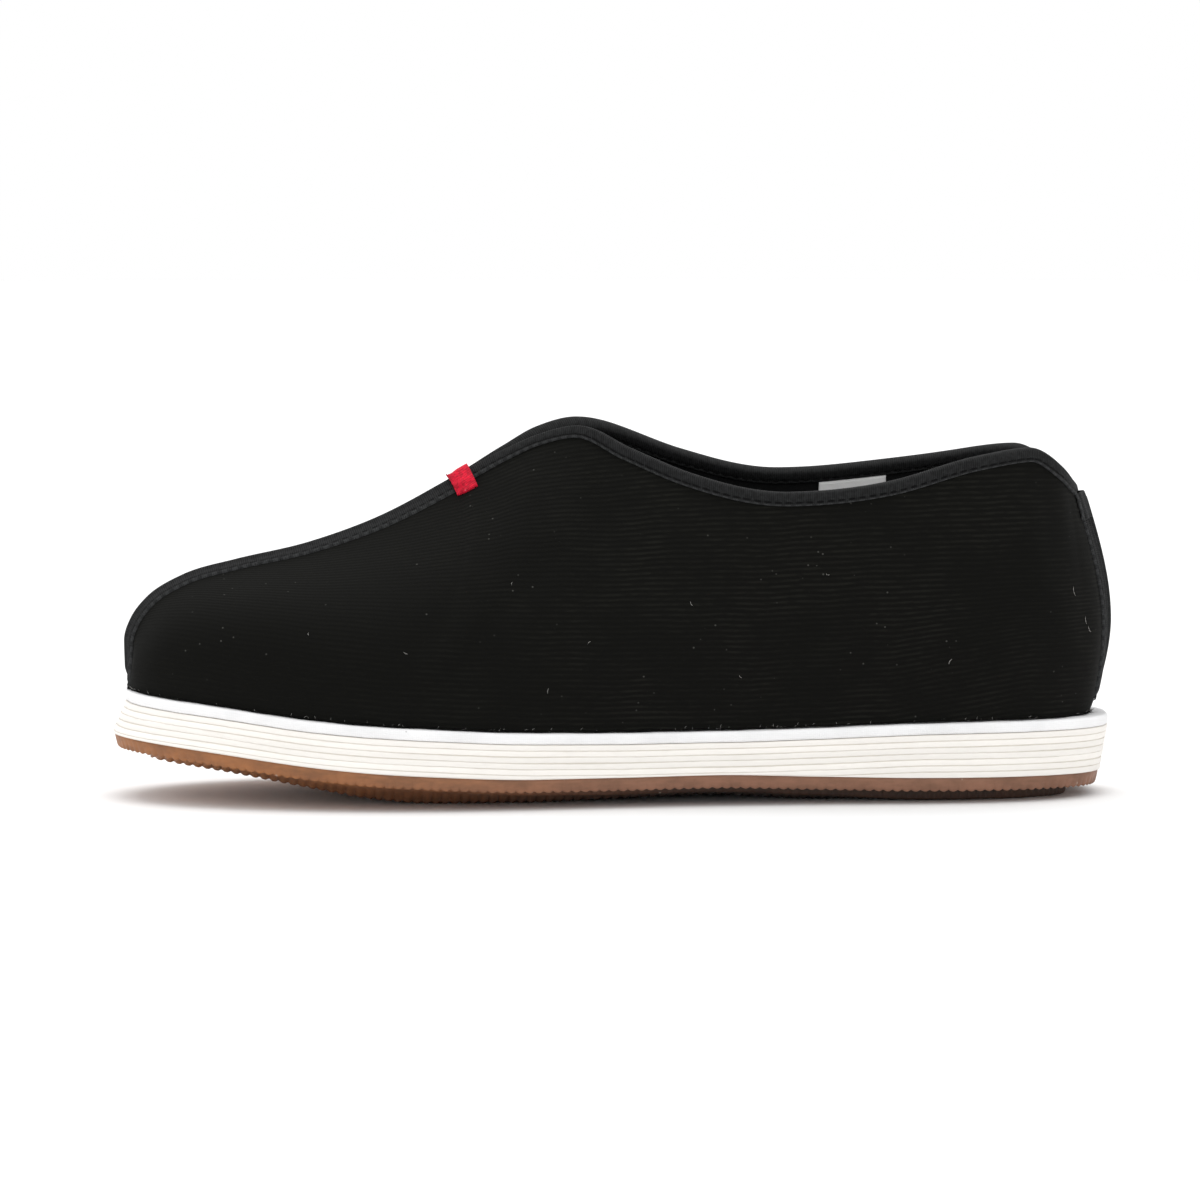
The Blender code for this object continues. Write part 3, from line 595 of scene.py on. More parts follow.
def through_wall(station, share, side):
    """Outward through the wall. It stays in the middle plane where the panels are sewn together
    along the vamp, and level where the panel stands on the sole."""
    inside = np.clip(station, TOE_CLEAR, KNOTS[-1] - STATION_STEP)
    low = np.clip(share - SHARE_STEP, 0, 1)
    high = np.clip(share + SHARE_STEP, 0, 1)
    back = panel(inside + STATION_STEP, share, side) - panel(inside - STATION_STEP, share, side)
    up = panel(inside, high, side) - panel(inside, low, side)
    normal = unit(np.cross(back, up)) * side
    sewn = np.clip(1 - half_gap(station) / (3 * SLIT_HALF_GAP), 0, 1)
    near_edge = np.clip((share - NEAR_EDGE) / (1 - NEAR_EDGE), 0, 1) ** 2
    near_foot = np.clip(1 - share / NEAR_FOOT, 0, 1)
    free = normal.copy()
    free[..., 1] *= 1 - sewn * near_edge
    free[..., 2] *= 1 - near_foot
    free = unit(free)
    stretch = np.clip((free * normal).sum(axis=-1, keepdims=True), 0.75, 1)
    return free / stretch


def in_wall(station, share, side, depth):
    """A point at a depth in the wall, 0 on its outer face. It keeps its height over the sole."""
    start = panel(station, share, side)
    point = start - np.asarray(depth)[..., None] * through_wall(station, share, side)
    near_foot = np.clip(1 - share / NEAR_FOOT, 0, 1)
    point[..., 2] += near_foot * (sole_top(point[..., 0]) - sole_top(start[..., 0]))
    return point


# Where things lie on the panels


def off_edge(stations, downs, outs, side):
    """Points this far down the panel from its bound edge, square to it, and this far out of its
    face, for each station. Where down is below 0 they lie past the edge."""
    shares = np.linspace(1, 0, 121)
    hoops = panel(*net_of(stations, shares), side)
    away = ((hoops - hoops[:, :1]) * across(stations, side)[:, None, :]).sum(axis=-1)
    reach = np.maximum.accumulate(away, axis=1)
    share = np.array([np.interp(np.maximum(downs, 0), row, shares) for row in reach])
    station = stations[:, None] + 0 * share
    point = in_wall(station, share, side, -outs + 0 * share)
    return point + np.minimum(downs, 0)[:, None] * across(station, side)


def off_seam(heights, sideways, outs, side):
    """Points this far to the side of the back seam, level with each height on it, and this far
    out of the panel's face."""
    stations = KNOTS[-1] - SEAM_SEARCH * np.linspace(0, 1, 27)
    shares = np.linspace(0, 1, 81)
    hoops = panel(*net_of(stations, shares), side)
    found = []
    for level in heights:
        at = np.array([np.interp(level, hoop[:, 2], shares) for hoop in hoops])
        steps = np.linalg.norm(np.diff(panel(stations, at, side), axis=0), axis=-1)
        gone = np.concatenate([[0.0], np.cumsum(steps)])
        found.append([np.interp(sideways, gone, stations), np.interp(sideways, gone, at)])
    station, share = np.moveaxis(np.array(found), 1, 0)
    return in_wall(station, share, side, -outs + 0 * share)


def bent(place, along, downs, outs, far_outs):
    """A grid over a seam, from one strip's edge to the other's: downs run from far to 0, and the
    far side has its own distances out of the cloth."""
    lateral = place(along, downs, outs, LATERAL)
    medial = place(along, downs, far_outs, MEDIAL)
    middle = (lateral[:, -1:] + medial[:, -1:]) / 2
    return np.concatenate([lateral[:, :-1], middle, medial[:, -2::-1]], axis=1)


def lengths_along(points, axis):
    """Distance gone along one axis of a grid, at each of its points."""
    steps = np.linalg.norm(np.diff(points, axis=axis), axis=-1)
    gone = np.cumsum(steps, axis=axis)
    start = np.zeros_like(np.take(gone, [0], axis=axis))
    return np.concatenate([start, gone], axis=axis)


def even_stations(first, last, count, side=LATERAL):
    """Stations between two others, even along whichever is longer there, the panel's bound edge
    or its foot."""
    fine = np.linspace(first, last, 1200)
    edge = np.linalg.norm(np.diff(bound_edge(fine, side), axis=0), axis=-1)
    foot = np.linalg.norm(np.diff(foot_line(fine, side)[0], axis=0), axis=-1)
    gone = np.concatenate([[0.0], np.cumsum(np.maximum(edge, foot))])
    return np.interp(np.linspace(0, gone[-1], count), gone, fine)


BACK_SEAM = panel(np.array([NOTCH_END, NOTCH_END]), np.array([0.0, 1.0]), LATERAL)[:, 2]

# Making pieces

Sheet = namedtuple("Sheet", "points map finish")


def cloth_map(points):
    """Distances along a grid and in from its nearer edge, in centimetres, for its texture map."""
    along = lengths_along(points, 0).mean(axis=1)
    over = lengths_along(points, 1)[len(points) // 2]
    over = np.minimum(over, over[-1] - over)
    return np.stack(net_of(along, over), axis=-1) / CM


def sheet(points, finish=0, mapping=None):
    """A grid of points with its texture map and the number of its finish."""
    return Sheet(points, cloth_map(points) if mapping is None else mapping, finish)


def slab(over, under, finish=0, under_finish=0):
    """A closed slab between two grids of the same size: both grids, and walls along their four
    edges."""
    walls = [
        np.stack([over[0], under[0]]),
        np.stack([over[-1], under[-1]]),
        np.stack([over[:, 0], under[:, 0]]),
        np.stack([over[:, -1], under[:, -1]]),
    ]
    return [sheet(over, finish), sheet(under, under_finish), *[sheet(wall, finish) for wall in walls]]


def quads_of(shape, first):
    """Corner numbers of the quads of one grid or a stack of grids, counted from the first."""
    index = first + np.arange(int(np.prod(shape))).reshape(shape)
    corners = [index[..., :-1, :-1], index[..., 1:, :-1], index[..., 1:, 1:], index[..., :-1, 1:]]
    return np.stack(corners, axis=-1).reshape(-1, 4)


def make_piece(name, sheets, finishes, nodes, caps=()):
    """A piece of the shoe from its grids. Grids are joined where their points meet, a cap closes a
    loop of points with one face, and the faces are turned outwards. The piece replaces the nodes
    that it dresses."""
    points, maps, quads, kinds = [], [], [], []
    first = 0
    for part in sheets:
        corners = quads_of(part.points.shape[:-1], first)
        points.append(part.points.reshape(-1, 3))
        maps.append(part.map.reshape(-1, 2))
        quads.append(corners)
        kinds.append(np.full(len(corners), part.finish))
        first += len(points[-1])
    faces = np.concatenate(quads).tolist()
    kinds = np.concatenate(kinds).tolist()
    for loop in caps:
        points.append(loop)
        maps.append(np.zeros((len(loop), 2)))
        faces.append(list(range(first, first + len(loop))))
        kinds.append(0)
        first += len(loop)
    mesh = bpy.data.meshes.new(name)
    mesh.from_pydata(np.concatenate(points).tolist(), [], faces)
    corner = np.empty(len(mesh.loops), dtype=np.int32)
    mesh.loops.foreach_get("vertex_index", corner)
    layer = mesh.uv_layers.new(name="Cloth")
    layer.data.foreach_set("uv", np.concatenate(maps)[corner].ravel())
    mesh.polygons.foreach_set("material_index", np.array(kinds, dtype=np.int32))
    work = bmesh.new()
    work.from_mesh(mesh)
    bmesh.ops.remove_doubles(work, verts=work.verts, dist=WELD)
    bmesh.ops.dissolve_degenerate(work, edges=work.edges, dist=WELD)
    bmesh.ops.recalc_face_normals(work, faces=work.faces)
    work.to_mesh(mesh)
    work.free()
    for finish in finishes:
        mesh.materials.append(finish)
    mesh.shade_smooth()
    piece = bpy.data.objects.new(name, mesh)
    bpy.context.scene.collection.objects.link(piece)
    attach(piece, BODY)
    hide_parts(*nodes)
    return piece


def tubes(centres, outward, radius, sides):
    """Thin tubes, one for each row of centres, closed to a point at both ends: rings round each
    centre, whose size is the radius at it. outward is one side of each ring."""
    ahead = unit(np.gradient(centres, axis=1))
    across_tube = unit(np.cross(ahead, outward))
    up = np.cross(across_tube, ahead)
    turn = np.linspace(0, 2 * np.pi, sides + 1)
    ring = np.cos(turn)[:, None] * across_tube[:, :, None] + np.sin(turn)[:, None] * up[:, :, None]
    points = centres[:, :, None] + np.asarray(radius)[..., None, None] * ring
    mapping = np.zeros((*points.shape[:-1], 2))
    mapping[..., 0] = np.linspace(0, 1, centres.shape[1])[:, None]
    mapping[..., 1] = np.linspace(0, 1, sides + 1)
    return Sheet(points, mapping, 0)


def stitch_row(path, outward, looks):
    """Stitches along a path: each is a short tube that swells between its two ends, as the root of
    one less a fourth power, and its ends dip into the cloth."""
    gone = lengths_along(path, 0)
    count = int(gone[-1] // looks.stitch_pitch)
    share = np.linspace(0, 1, 7)
    middle = (np.arange(count) + 0.5) * gone[-1] / count
    at = middle[:, None] + (share - 0.5) * looks.stitch_length
    centres = np.stack([np.interp(at, gone, path[:, i]) for i in range(3)], axis=-1)
    ways = unit(np.stack([np.interp(at, gone, outward[:, i]) for i in range(3)], axis=-1))
    ends = (2 * share - 1) ** 4
    centres = centres - (ends * looks.thread * 1.6)[:, None] * ways
    return tubes(centres, ways, looks.thread * np.sqrt(1 - ends) + 0 * at, 6)


# Finishes


class Wire:
    """An output of a material's nodes. Sums, products and quotients of it are Math nodes."""

    def __init__(self, bench, socket):
        self.bench = bench
        self.socket = socket

    def math(self, operation, *values):
        """A Math node of these values."""
        return self.bench.node("ShaderNodeMath", {"operation": operation}, values)

    def __add__(self, other):
        return self.math("ADD", self, other)

    def __mul__(self, other):
        return self.math("MULTIPLY", self, other)

    def __truediv__(self, other):
        return self.math("DIVIDE", self, other)

    def __rsub__(self, other):
        return self.math("SUBTRACT", other, self)

    def __abs__(self):
        return self.math("ABSOLUTE", self)

    __radd__ = __add__

    def sine(self):
        """Its sine, of radians."""
        return self.math("SINE", self)

    def step(self, low, high):
        """0 at low, 1 at high, and a soft step between."""
        settings = {"interpolation_type": "SMOOTHSTEP"}
        return self.bench.node("ShaderNodeMapRange", settings, {0: self, 1: low, 2: high})


class Bench:
    """A material being made: its nodes, the shader that they feed, and the place on the shoe that
    its patterns are made of, in metres."""

    def __init__(self, name):
        self.material = bpy.data.materials.new(name)
        self.material.use_nodes = True
        self.tree = self.material.node_tree
        self.shader = self.tree.nodes["Principled BSDF"]
        self.place = self.node("ShaderNodeTexCoord", output=3)

    def node(self, kind, settings=None, values=(), output=0):
        """Adds a node: its settings first, then its sockets' values or links."""
        added = self.tree.nodes.new(kind)
        for name, setting in (settings or {}).items():
            setattr(added, name, setting)
        pairs = values.items() if isinstance(values, dict) else enumerate(values)
        for name, value in pairs:
            self.plug(added.inputs[name], value)
        return Wire(self, added.outputs[output])

    def plug(self, socket, value):
        """Links a wire to a socket, or sets the socket's value."""
        if isinstance(value, Wire):
            self.tree.links.new(value.socket, socket)
        else:
            socket.default_value = value

    def parts(self, vector):
        """The x, y and z of a vector."""
        split = self.node("ShaderNodeSeparateXYZ", {}, [vector]).socket.node
        return [Wire(self, out) for out in split.outputs]

    def cloth(self):
        """Distances along and across the piece's cloth, in millimetres."""
        placed = self.node("ShaderNodeUVMap", {"uv_map": "Cloth"})
        along, over, _ = self.parts(placed)
        return along * 10, over * 10

    def noise(self, scale, detail=3.0, roughness=0.6, drawn=None):
        """Clouds of a scale, drawn out by three factors where the cloth's fibres run one way."""
        vector = self.place
        if drawn:
            vector = self.node("ShaderNodeVectorMath", {"operation": "MULTIPLY"}, [vector, drawn])
        values = {"Vector": vector, "Scale": scale, "Detail": detail, "Roughness": roughness}
        return self.node("ShaderNodeTexNoise", {}, values)

    def spots(self, scale, size):
        """1 in small round spots, one in each cell of a random pattern, and 0 between them."""
        spot = self.node("ShaderNodeTexVoronoi", {}, {"Vector": self.place, "Scale": scale})
        return 1 - spot.step(size * 0.6, size)

    def specks(self, scale, size, clouds, low, high):
        """Spots that are kept where clouds of another scale rise from low to high."""
        return self.spots(scale, size) * self.noise(clouds).step(low, high)

    def mix(self, share, first, second):
        """A colour between two others."""
        settings = {"data_type": "RGBA"}
        values = {0: share, 6: rgba(first), 7: rgba(second)}
        return self.node("ShaderNodeMix", settings, values, output=2)

    def finish(self, colour, roughness, height, relief, shine=0.5, sheen=0.0):
        """Feeds the shader: colour, roughness and a relief of this many metres at height 1. Shine
        and sheen are the same all over it."""
        self.plug(self.shader.inputs["Base Color"], rgba(colour))
        self.plug(self.shader.inputs["Roughness"], roughness)
        bump = self.node("ShaderNodeBump", {}, {"Strength": 1.0, "Distance": relief, "Height": height})
        self.plug(self.shader.inputs["Normal"], bump)
        self.shader.inputs["Specular IOR Level"].default_value = shine
        self.shader.inputs["Sheen Weight"].default_value = sheen
        self.shader.inputs["Sheen Roughness"].default_value = 0.5
        return self.material


def rgba(colour):
    """A colour of three numbers with its alpha. A link stays as it is."""
    return colour if isinstance(colour, Wire) else (*colour[:3], 1.0)


def times(colour, factor):
    """A lighter or darker colour."""
    return tuple(min(part * factor, 1.0) for part in colour[:3])


def corduroy_finish(looks):
    """Wales whose crests are painted lighter, partly for wear and partly as a painted highlight, and whose
    grooves are painted darker as painted shade; nap that is brushed in patches, and dust caught in it."""
    bench = Bench("black corduroy")
    _, over = bench.cloth()
    crest = abs((over * (np.pi / (looks.wale_pitch / MM))).sine())
    behind = 1 - bench.parts(bench.place)[0].step(-0.01, 0.09) * 0.75
    nap = bench.noise(1500.0, 4.0, 0.7, (1.0, 1.0, 2.2))
    broken = bench.noise(620.0, drawn=(0.35, 0.35, 1.6))
    brushed = bench.noise(45.0)
    patchy = brushed.step(0.38, 0.62) * 0.8 + 0.2
    # Painted highlight on the wale crests and painted shade in the grooves, broken up in patches and weaker
    # toward the toe
    worn = crest.step(0.5, 1.0) * (broken.step(0.38, 0.62) * 0.75 + 0.25) * patchy
    worn = worn * behind * 0.75 + nap.step(0.4, 0.8) * 0.25
    cloth = bench.mix(worn, times(looks.corduroy, 0.6), times(looks.corduroy, 1.8))
    dust = bench.specks(310.0, 0.10, 75.0, 0.50, 0.62)
    colour = bench.mix(dust * 0.45, cloth, (0.11, 0.11, 0.10))
    rough = 0.85 + nap * 0.12
    height = nap * 0.75 + crest * 0.25
    return bench.finish(colour, rough, height, 0.12 * MM, 0.10)


def lining_finish(looks):
    """Plain black lining: a fine weave with faint broad shading."""
    bench = Bench("black lining")
    along, over = bench.cloth()
    weave = abs((along * 6.2).sine()) * abs((over * 6.2).sine())
    cloud = bench.noise(60.0)
    colour = bench.mix(cloud * 0.6 + weave * 0.4, times(looks.tape, 0.45), times(looks.tape, 0.95))
    return bench.finish(colour, 0.85 + cloud * 0.1, weave, 0.06 * MM, 0.12)


def tape_finish(looks):
    """Black ribbed tape: round ribs across it, with a painted highlight on their tops, a faint silk shine,
    and a painted highlight along its folded edge."""
    bench = Bench("black ribbed tape")
    along, over = bench.cloth()
    drift = bench.noise(160.0, 2.0) * 0.5
    rib = abs((along * (np.pi / (looks.rib_pitch / MM)) + drift).sine())
    strand = bench.noise(2600.0, 2.0)
    cloud = bench.noise(70.0)
    grain = bench.noise(800.0, 2.0).step(0.36, 0.64)
    # Painted highlight on the rib tops and painted shade between them, mixed with random strands, clouds and
    # grain
    light = rib.step(0.2, 1.0) * 0.4 + strand * 0.1 + cloud * 0.15 + grain * 0.35
    ribbed = bench.mix(light, times(looks.tape, 0.2), times(looks.tape, 2.0))
    dash = (along * (2 * np.pi / (looks.stitch_pitch / MM))).sine().step(-0.5, 0.3)
    groove = over.step(1.15, 1.4) * (1 - over.step(1.85, 2.1))
    ribbed = bench.mix(groove * dash * 0.85, ribbed, times(looks.tape, 0.1))
    # Painted highlight: a pale line along the tape's folded edge, where it catches the light
    painted_edge_highlight = (1 - over.step(0.82, 1.05)) * (0.4 + dash * 0.6) * strand.step(0.2, 0.6)
    colour = bench.mix(painted_edge_highlight, ribbed, times(looks.tape, 4.6))
    rough = 0.62 + strand * 0.2
    height = rib * 0.85 + strand * 0.15
    return bench.finish(colour, rough, height, 0.16 * MM, 0.14)


def red_finish(looks):
    """Red cotton tape: a slanting weave whose threads carry a painted highlight on top."""
    bench = Bench("red cotton tape")
    along, over = bench.cloth()
    twill = abs((along * 5.6 + over * 3.6).sine())
    thread = abs((over * 9.5).sine())
    fleck = bench.noise(900.0)
    # Painted highlight on the twill's thread tops, mixed with random flecks
    light = twill * 0.35 + thread * 0.15 + fleck.step(0.38, 0.62) * 0.5
    colour = bench.mix(light, times(looks.red, 0.42), times(looks.red, 1.3))
    sewn = bench.spots(620.0, 0.22) * (1 - over.step(1.2, 1.6))
    colour = bench.mix(sewn * 0.6, colour, (0.85, 0.16, 0.22))
    return bench.finish(colour, 0.6 + fleck * 0.25, twill * 0.6 + fleck * 0.4, 0.3 * MM, 0.2)


def cotton_finish(looks):
    """White cotton cloth over the board: a plain weave with slubs and faint grey dust."""
    bench = Bench("white cotton cloth")
    along, over = bench.cloth()
    weave = abs((along * 5.2).sine()) * 0.5 + abs((over * 5.2).sine()) * 0.5
    slub = bench.noise(900.0, drawn=(0.25, 0.25, 2.5))
    cloud = bench.noise(50.0)
    dull = cloud.step(0.35, 0.8) * 0.6 + (1 - weave) * 0.25 + slub * 0.15
    colour = bench.mix(dull, looks.cotton, times(looks.cotton, 0.82))
    fibres = bench.specks(260.0, 0.08, 70.0, 0.55, 0.7)
    colour = bench.mix(fibres * 0.5, colour, (0.16, 0.15, 0.14))
    return bench.finish(colour, 0.8 + slub * 0.15, weave * 0.6 + slub * 0.4, 0.09 * MM)


def layers_finish(looks):
    """Cream stacked layers: long fine fibres along the cut edge, each layer a little different,
    darker in the joins and here and there a dark fleck."""
    bench = Bench("cream stacked layers")
    _, over = bench.cloth()
    layer = over.math("FLOOR", over / (LAYER_PITCH / MM))
    shade = bench.node("ShaderNodeTexWhiteNoise", {"noise_dimensions": "1D"}, {"W": layer})
    groove = abs((over * (np.pi / (LAYER_PITCH / MM))).sine())
    fibre = bench.noise(1400.0, 4.0, drawn=(0.18, 0.18, 2.0))
    cloud = bench.noise(38.0)
    dull = fibre * 0.30 + cloud * 0.35 + shade * 0.25
    cream = bench.mix(dull, times(looks.cream, 1.08), times(looks.cream, 0.84))
    cream = bench.mix((1 - groove.step(0.0, 0.40)) * 0.55, cream, (0.46, 0.40, 0.31))
    fleck = bench.specks(150.0, 0.09, 60.0, 0.60, 0.68)
    colour = bench.mix(fleck * 0.8, cream, (0.10, 0.075, 0.05))
    return bench.finish(colour, 0.62 + fibre * 0.25, fibre, 0.10 * MM)


def gum_finish(looks, name, dark):
    """Brown gum rubber, more orange toward the toe, with cloudy patches and mould marks. dark is
    how much painted shade darkens the tread behind the ball of the foot, where it lies in the sole's shadow."""
    bench = Bench(name)
    x = bench.parts(bench.place)[0]
    toward_toe = x.step(-0.02, 0.11)
    gum = bench.mix(toward_toe, looks.gum_heel, looks.gum_toe)
    # Painted shade: behind the ball the tread is darkened toward the shade colour
    behind = (1 - x.step(-0.03, 0.045)) * dark
    gum = bench.mix(behind, gum, looks.gum_tread_shade)
    cloud = bench.noise(110.0, 4.0, drawn=(1.0, 1.0, 3.0))
    grain = bench.noise(1100.0)
    shaded = bench.mix(cloud.step(0.3, 0.75) * 0.55, gum, (0.10, 0.045, 0.022))
    dust = bench.specks(230.0, 0.11, 80.0, 0.56, 0.68)
    colour = bench.mix(dust * 0.55, shaded, (0.55, 0.50, 0.44))
    return bench.finish(colour, 0.42 + cloud * 0.2 + grain * 0.08, grain, 0.07 * MM)


def felt_finish():
    """Black felt: matted fibres that lie in every direction, with a painted highlight where they stick up.
    """
    bench = Bench("black felt")
    fibre = bench.noise(700.0, 5.0, 0.75)
    cloud = bench.noise(40.0)
    # Painted highlight: the same noise that raises the fibres makes them paler
    colour = bench.mix(fibre.step(0.35, 0.75), (0.010, 0.010, 0.011), (0.045, 0.045, 0.047))
    return bench.finish(colour, 0.88 + cloud * 0.1, fibre, 0.25 * MM, 0.15, 0.02)


def label_finish():
    """Bare white woven label: a satin weave, a little greyer in its weave and in soft clouds."""
    bench = Bench("white woven label")
    along, over = bench.cloth()
    weave = abs((along * 7.0 + over * 2.4).sine())
    cloud = bench.noise(90.0)
    colour = bench.mix(weave * 0.35 + cloud * 0.35, (0.97, 0.97, 0.96), (0.82, 0.82, 0.81))
    return bench.finish(colour, 0.6 + cloud * 0.15, weave, 0.06 * MM)


def thread_finish(name, colour):
    """Sewing thread: two plies wound round each other, a little shiny."""
    bench = Bench(name)
    along, over = bench.cloth()
    ply = abs((along * 0.9 + over * 0.314).sine())
    fuzz = bench.noise(2500.0)
    shade = bench.mix(ply * 0.6 + fuzz * 0.4, times(colour, 0.5), times(colour, 1.4))
    return bench.finish(shade, 0.6 + fuzz * 0.2, ply, 0.08 * MM, 0.12)


def floor_finish(looks):
    """Pale studio floor with the faintest grain."""
    bench = Bench("pale floor")
    grain = bench.noise(300.0)
    colour = bench.mix(grain, looks.floor, times(looks.floor, 0.985))
    return bench.finish(colour, 0.75 + grain * 0.1, grain, 0.02 * MM)


# The sole


def even_places(count):
    """Places round one side of the sole, toe to heel, evenly spaced along its outline."""
    fine = np.linspace(0, 1, 4001)
    gone = lengths_along(widest_outline(fine, LATERAL), 0)
    return np.interp(np.linspace(0, gone[-1], count + 1), gone, fine)


class Rim:
    """The sole's outline all the way round, lateral side first, whose last point is its first.
    A ring of it is the outline moved in by an inset, at a height."""

    def __init__(self, count):
        half = even_places(count // 2)
        self.place = np.concatenate([half, half[-2::-1]])
        lateral, out_lateral = outline(half, LATERAL, 0 * half)
        medial, out_medial = outline(half, MEDIAL, 0 * half)
        self.base = np.concatenate([lateral, medial[-2::-1]])
        self.outward = np.concatenate([out_lateral, out_medial[-2::-1]])
        ends = (self.place <= 0) | (self.place >= 1)
        self.base[ends, 1] = 0.0
        self.outward[ends, 1] = 0.0
        self.gone = lengths_along(self.base, 0)
        self.x = self.plan(top_inset(self.place))[..., 0]

    def plan(self, inset):
        """The outline moved in, with a row for each row of insets."""
        return self.base - self.outward * inset[..., None]

    def rings(self, insets, heights):
        """A grid of rings: insets and heights are rows of sizes, one for each point round."""
        plan = self.plan(insets)
        return np.concatenate([plan, heights[..., None]], axis=-1)

    def map(self, down):
        """The rings' texture map: distance round the sole, and a distance down, in centimetres."""
        return np.stack([self.gone + 0 * down, down + 0 * self.gone], axis=-1) / CM

    def across(self, ring, columns):
        """A grid over or under the sole: straight lines from a ring's lateral to its medial side."""
        half = len(ring) // 2
        lateral, medial = ring[: half + 1], ring[half:][::-1]
        share = np.linspace(0, 1, columns)[:, None]
        return lateral[:, None] * (1 - share) + medial[:, None] * share

    def lid(self, ring):
        """A flat sheet that closes a ring."""
        return sheet(self.across(ring, LID_COLUMNS))


def make_outsole(looks, finishes):
    """Gum rubber plate. Its wall drops to a scalloped lower edge, whose lobes are half waves of
    even pitch, and under it a knurled pad stands in all round. The tread's ribs cross the pad:
    its underside is the pad's flat, raised in grooves that are powers of a sine along the shoe."""
    rim = Rim(looks.outsole_points)
    lobes = np.round(rim.gone[-1] / looks.scallop_pitch)
    lobe = abs(np.sin(np.pi * lobes * rim.gone / rim.gone[-1]))
    top = bottom_inset(rim.place) + OUTSOLE_STEP
    wander = WALL_WAVER * waves(rim.gone, (0.061, 0.023, 0.0117), 3)
    level, inward = column(WALL_SECTION, "down"), column(WALL_SECTION, "inset")
    top_height = midsole_bottom(rim.x) + OUTSOLE_LAP
    wall_low = plate_bottom(rim.x) - looks.scallop_drop * lobe
    heights = top_height + (wall_low - top_height) * level[:, None]
    heights[-2:] = plate_bottom(rim.x) + np.array([[0.0], [0.25 * MM]])
    scallop = WALL_SCALLOP * (1 - lobe) * (level[:, None] > 0.5)
    insets = top + wander + inward[:, None] * MM + scallop
    wall = rim.rings(insets, heights)
    pad_low = plate_bottom(rim.x) - PAD_HEIGHT * from_table(PROFILE, "pad_side", along_of(rim.x))
    keel = TOE_SPRING * from_table(PROFILE, "keel", along_of(rim.x))
    pad_low = np.maximum(pad_low, keel)
    down = column(PAD_SECTION, "down")
    pad_inset = top + OUTSOLE_WALL_DRAFT + PAD_INSET + PAD_DRAFT * down[:, None]
    rounding = column(PAD_SECTION, "inset")[:, None] * MM
    knurl = looks.knurl_depth * (1 - lobe) * np.sin(np.pi * np.clip(down, 0, 1))[:, None]
    pad_top = heights[-1]
    pad = rim.rings(pad_inset + rounding + knurl, pad_top + (pad_low - pad_top) * down[:, None])
    flat = rim.across(rim.rings(pad_inset[-1] + rounding[-1], pad_low), TREAD_COLUMNS)
    from_middle = abs(np.linspace(-1, 1, TREAD_COLUMNS))
    middle = np.interp(from_middle, [0, PAD_FLAT_SHARE, 1], [1, 1, 0])
    half = len(rim.place) // 2
    low = keel[: half + 1, None]
    flat[..., 2] += (low - flat[..., 2]) * middle
    ribs = np.sin(np.pi * flat[..., 0] / looks.tread_pitch) ** 2
    inner = np.clip((1 - from_middle) * 8, 0, 1)
    gone = rim.gone[: half + 1]
    ends = np.clip(np.minimum(gone, gone[-1] - gone) / CM, 0, 1)
    flat[..., 2] += looks.tread_depth * (ribs**2) * inner * ends[:, None]
    sheets = [
        rim.lid(wall[0]),
        sheet(wall, 0, rim.map(np.cumsum(level)[:, None] * MM)),
        sheet(np.stack([wall[-1], pad[0]])),
        sheet(pad, 1, rim.map(down[:, None] * PAD_HEIGHT)),
        sheet(flat, 1),
    ]
    return make_piece("outsole_gum", sheets, finishes, ["outsole"])


def make_midsole(looks, finish):
    """Stacked layers. Each layer's edge is a soft bulge from join to join, the root of one less a
    fourth power, moved in and out a little by waves of its own, so that no two lie alike."""
    rim = Rim(looks.midsole_points)
    thickness = midsole_thickness(rim.x) - MIDSOLE_SLACK
    left = thickness - LAYER_PITCH * np.arange(MIDSOLE_LAYERS)[:, None]
    layers = np.clip(left, LAYER_LEAST, LAYER_PITCH)
    layers *= thickness / layers.sum(axis=0)
    tops = np.concatenate([0 * thickness[None], np.cumsum(layers, axis=0)])
    bulge = (1 - abs(2 * LAYER_ROWS - 1) ** 4) ** 0.5
    depths, insets = [], []
    for number in range(MIDSOLE_LAYERS):
        depth = tops[number] + LAYER_ROWS[:, None] * layers[number]
        size = np.clip(layers[number] / LAYER_PITCH, 0, 1)
        own = waves(rim.gone, (0.083, 0.031, 0.0139, 0.0047), 20 + number)
        tilt = waves(rim.gone, (0.19, 0.071), 40 + number) * LAYER_TILT
        level = depth / thickness
        inset = top_inset(rim.place) * (1 - level) + bottom_inset(rim.place) * level
        recess = looks.layer_groove * size * (1 - bulge[:, None])
        depths.append(depth + tilt * size * np.sin(np.pi * level))
        insets.append(inset + recess - looks.layer_wander * own * size)
    depths, insets = np.concatenate(depths), np.concatenate(insets)
    side = rim.rings(insets, welt_bottom(rim.x) - depths)
    sheets = [
        sheet(side, 0, rim.map(layers_down())),
        rim.lid(side[0]),
        rim.lid(side[-1]),
    ]
    return make_piece("midsole_layers", sheets, [finish], ["midsole"])


def layers_down():
    """The rows' distances down as if each layer were of full thickness, so that the finish's
    joins fall on the real ones."""
    number = np.arange(MIDSOLE_LAYERS)[:, None]
    return (number + LAYER_ROWS).reshape(-1, 1) * LAYER_PITCH


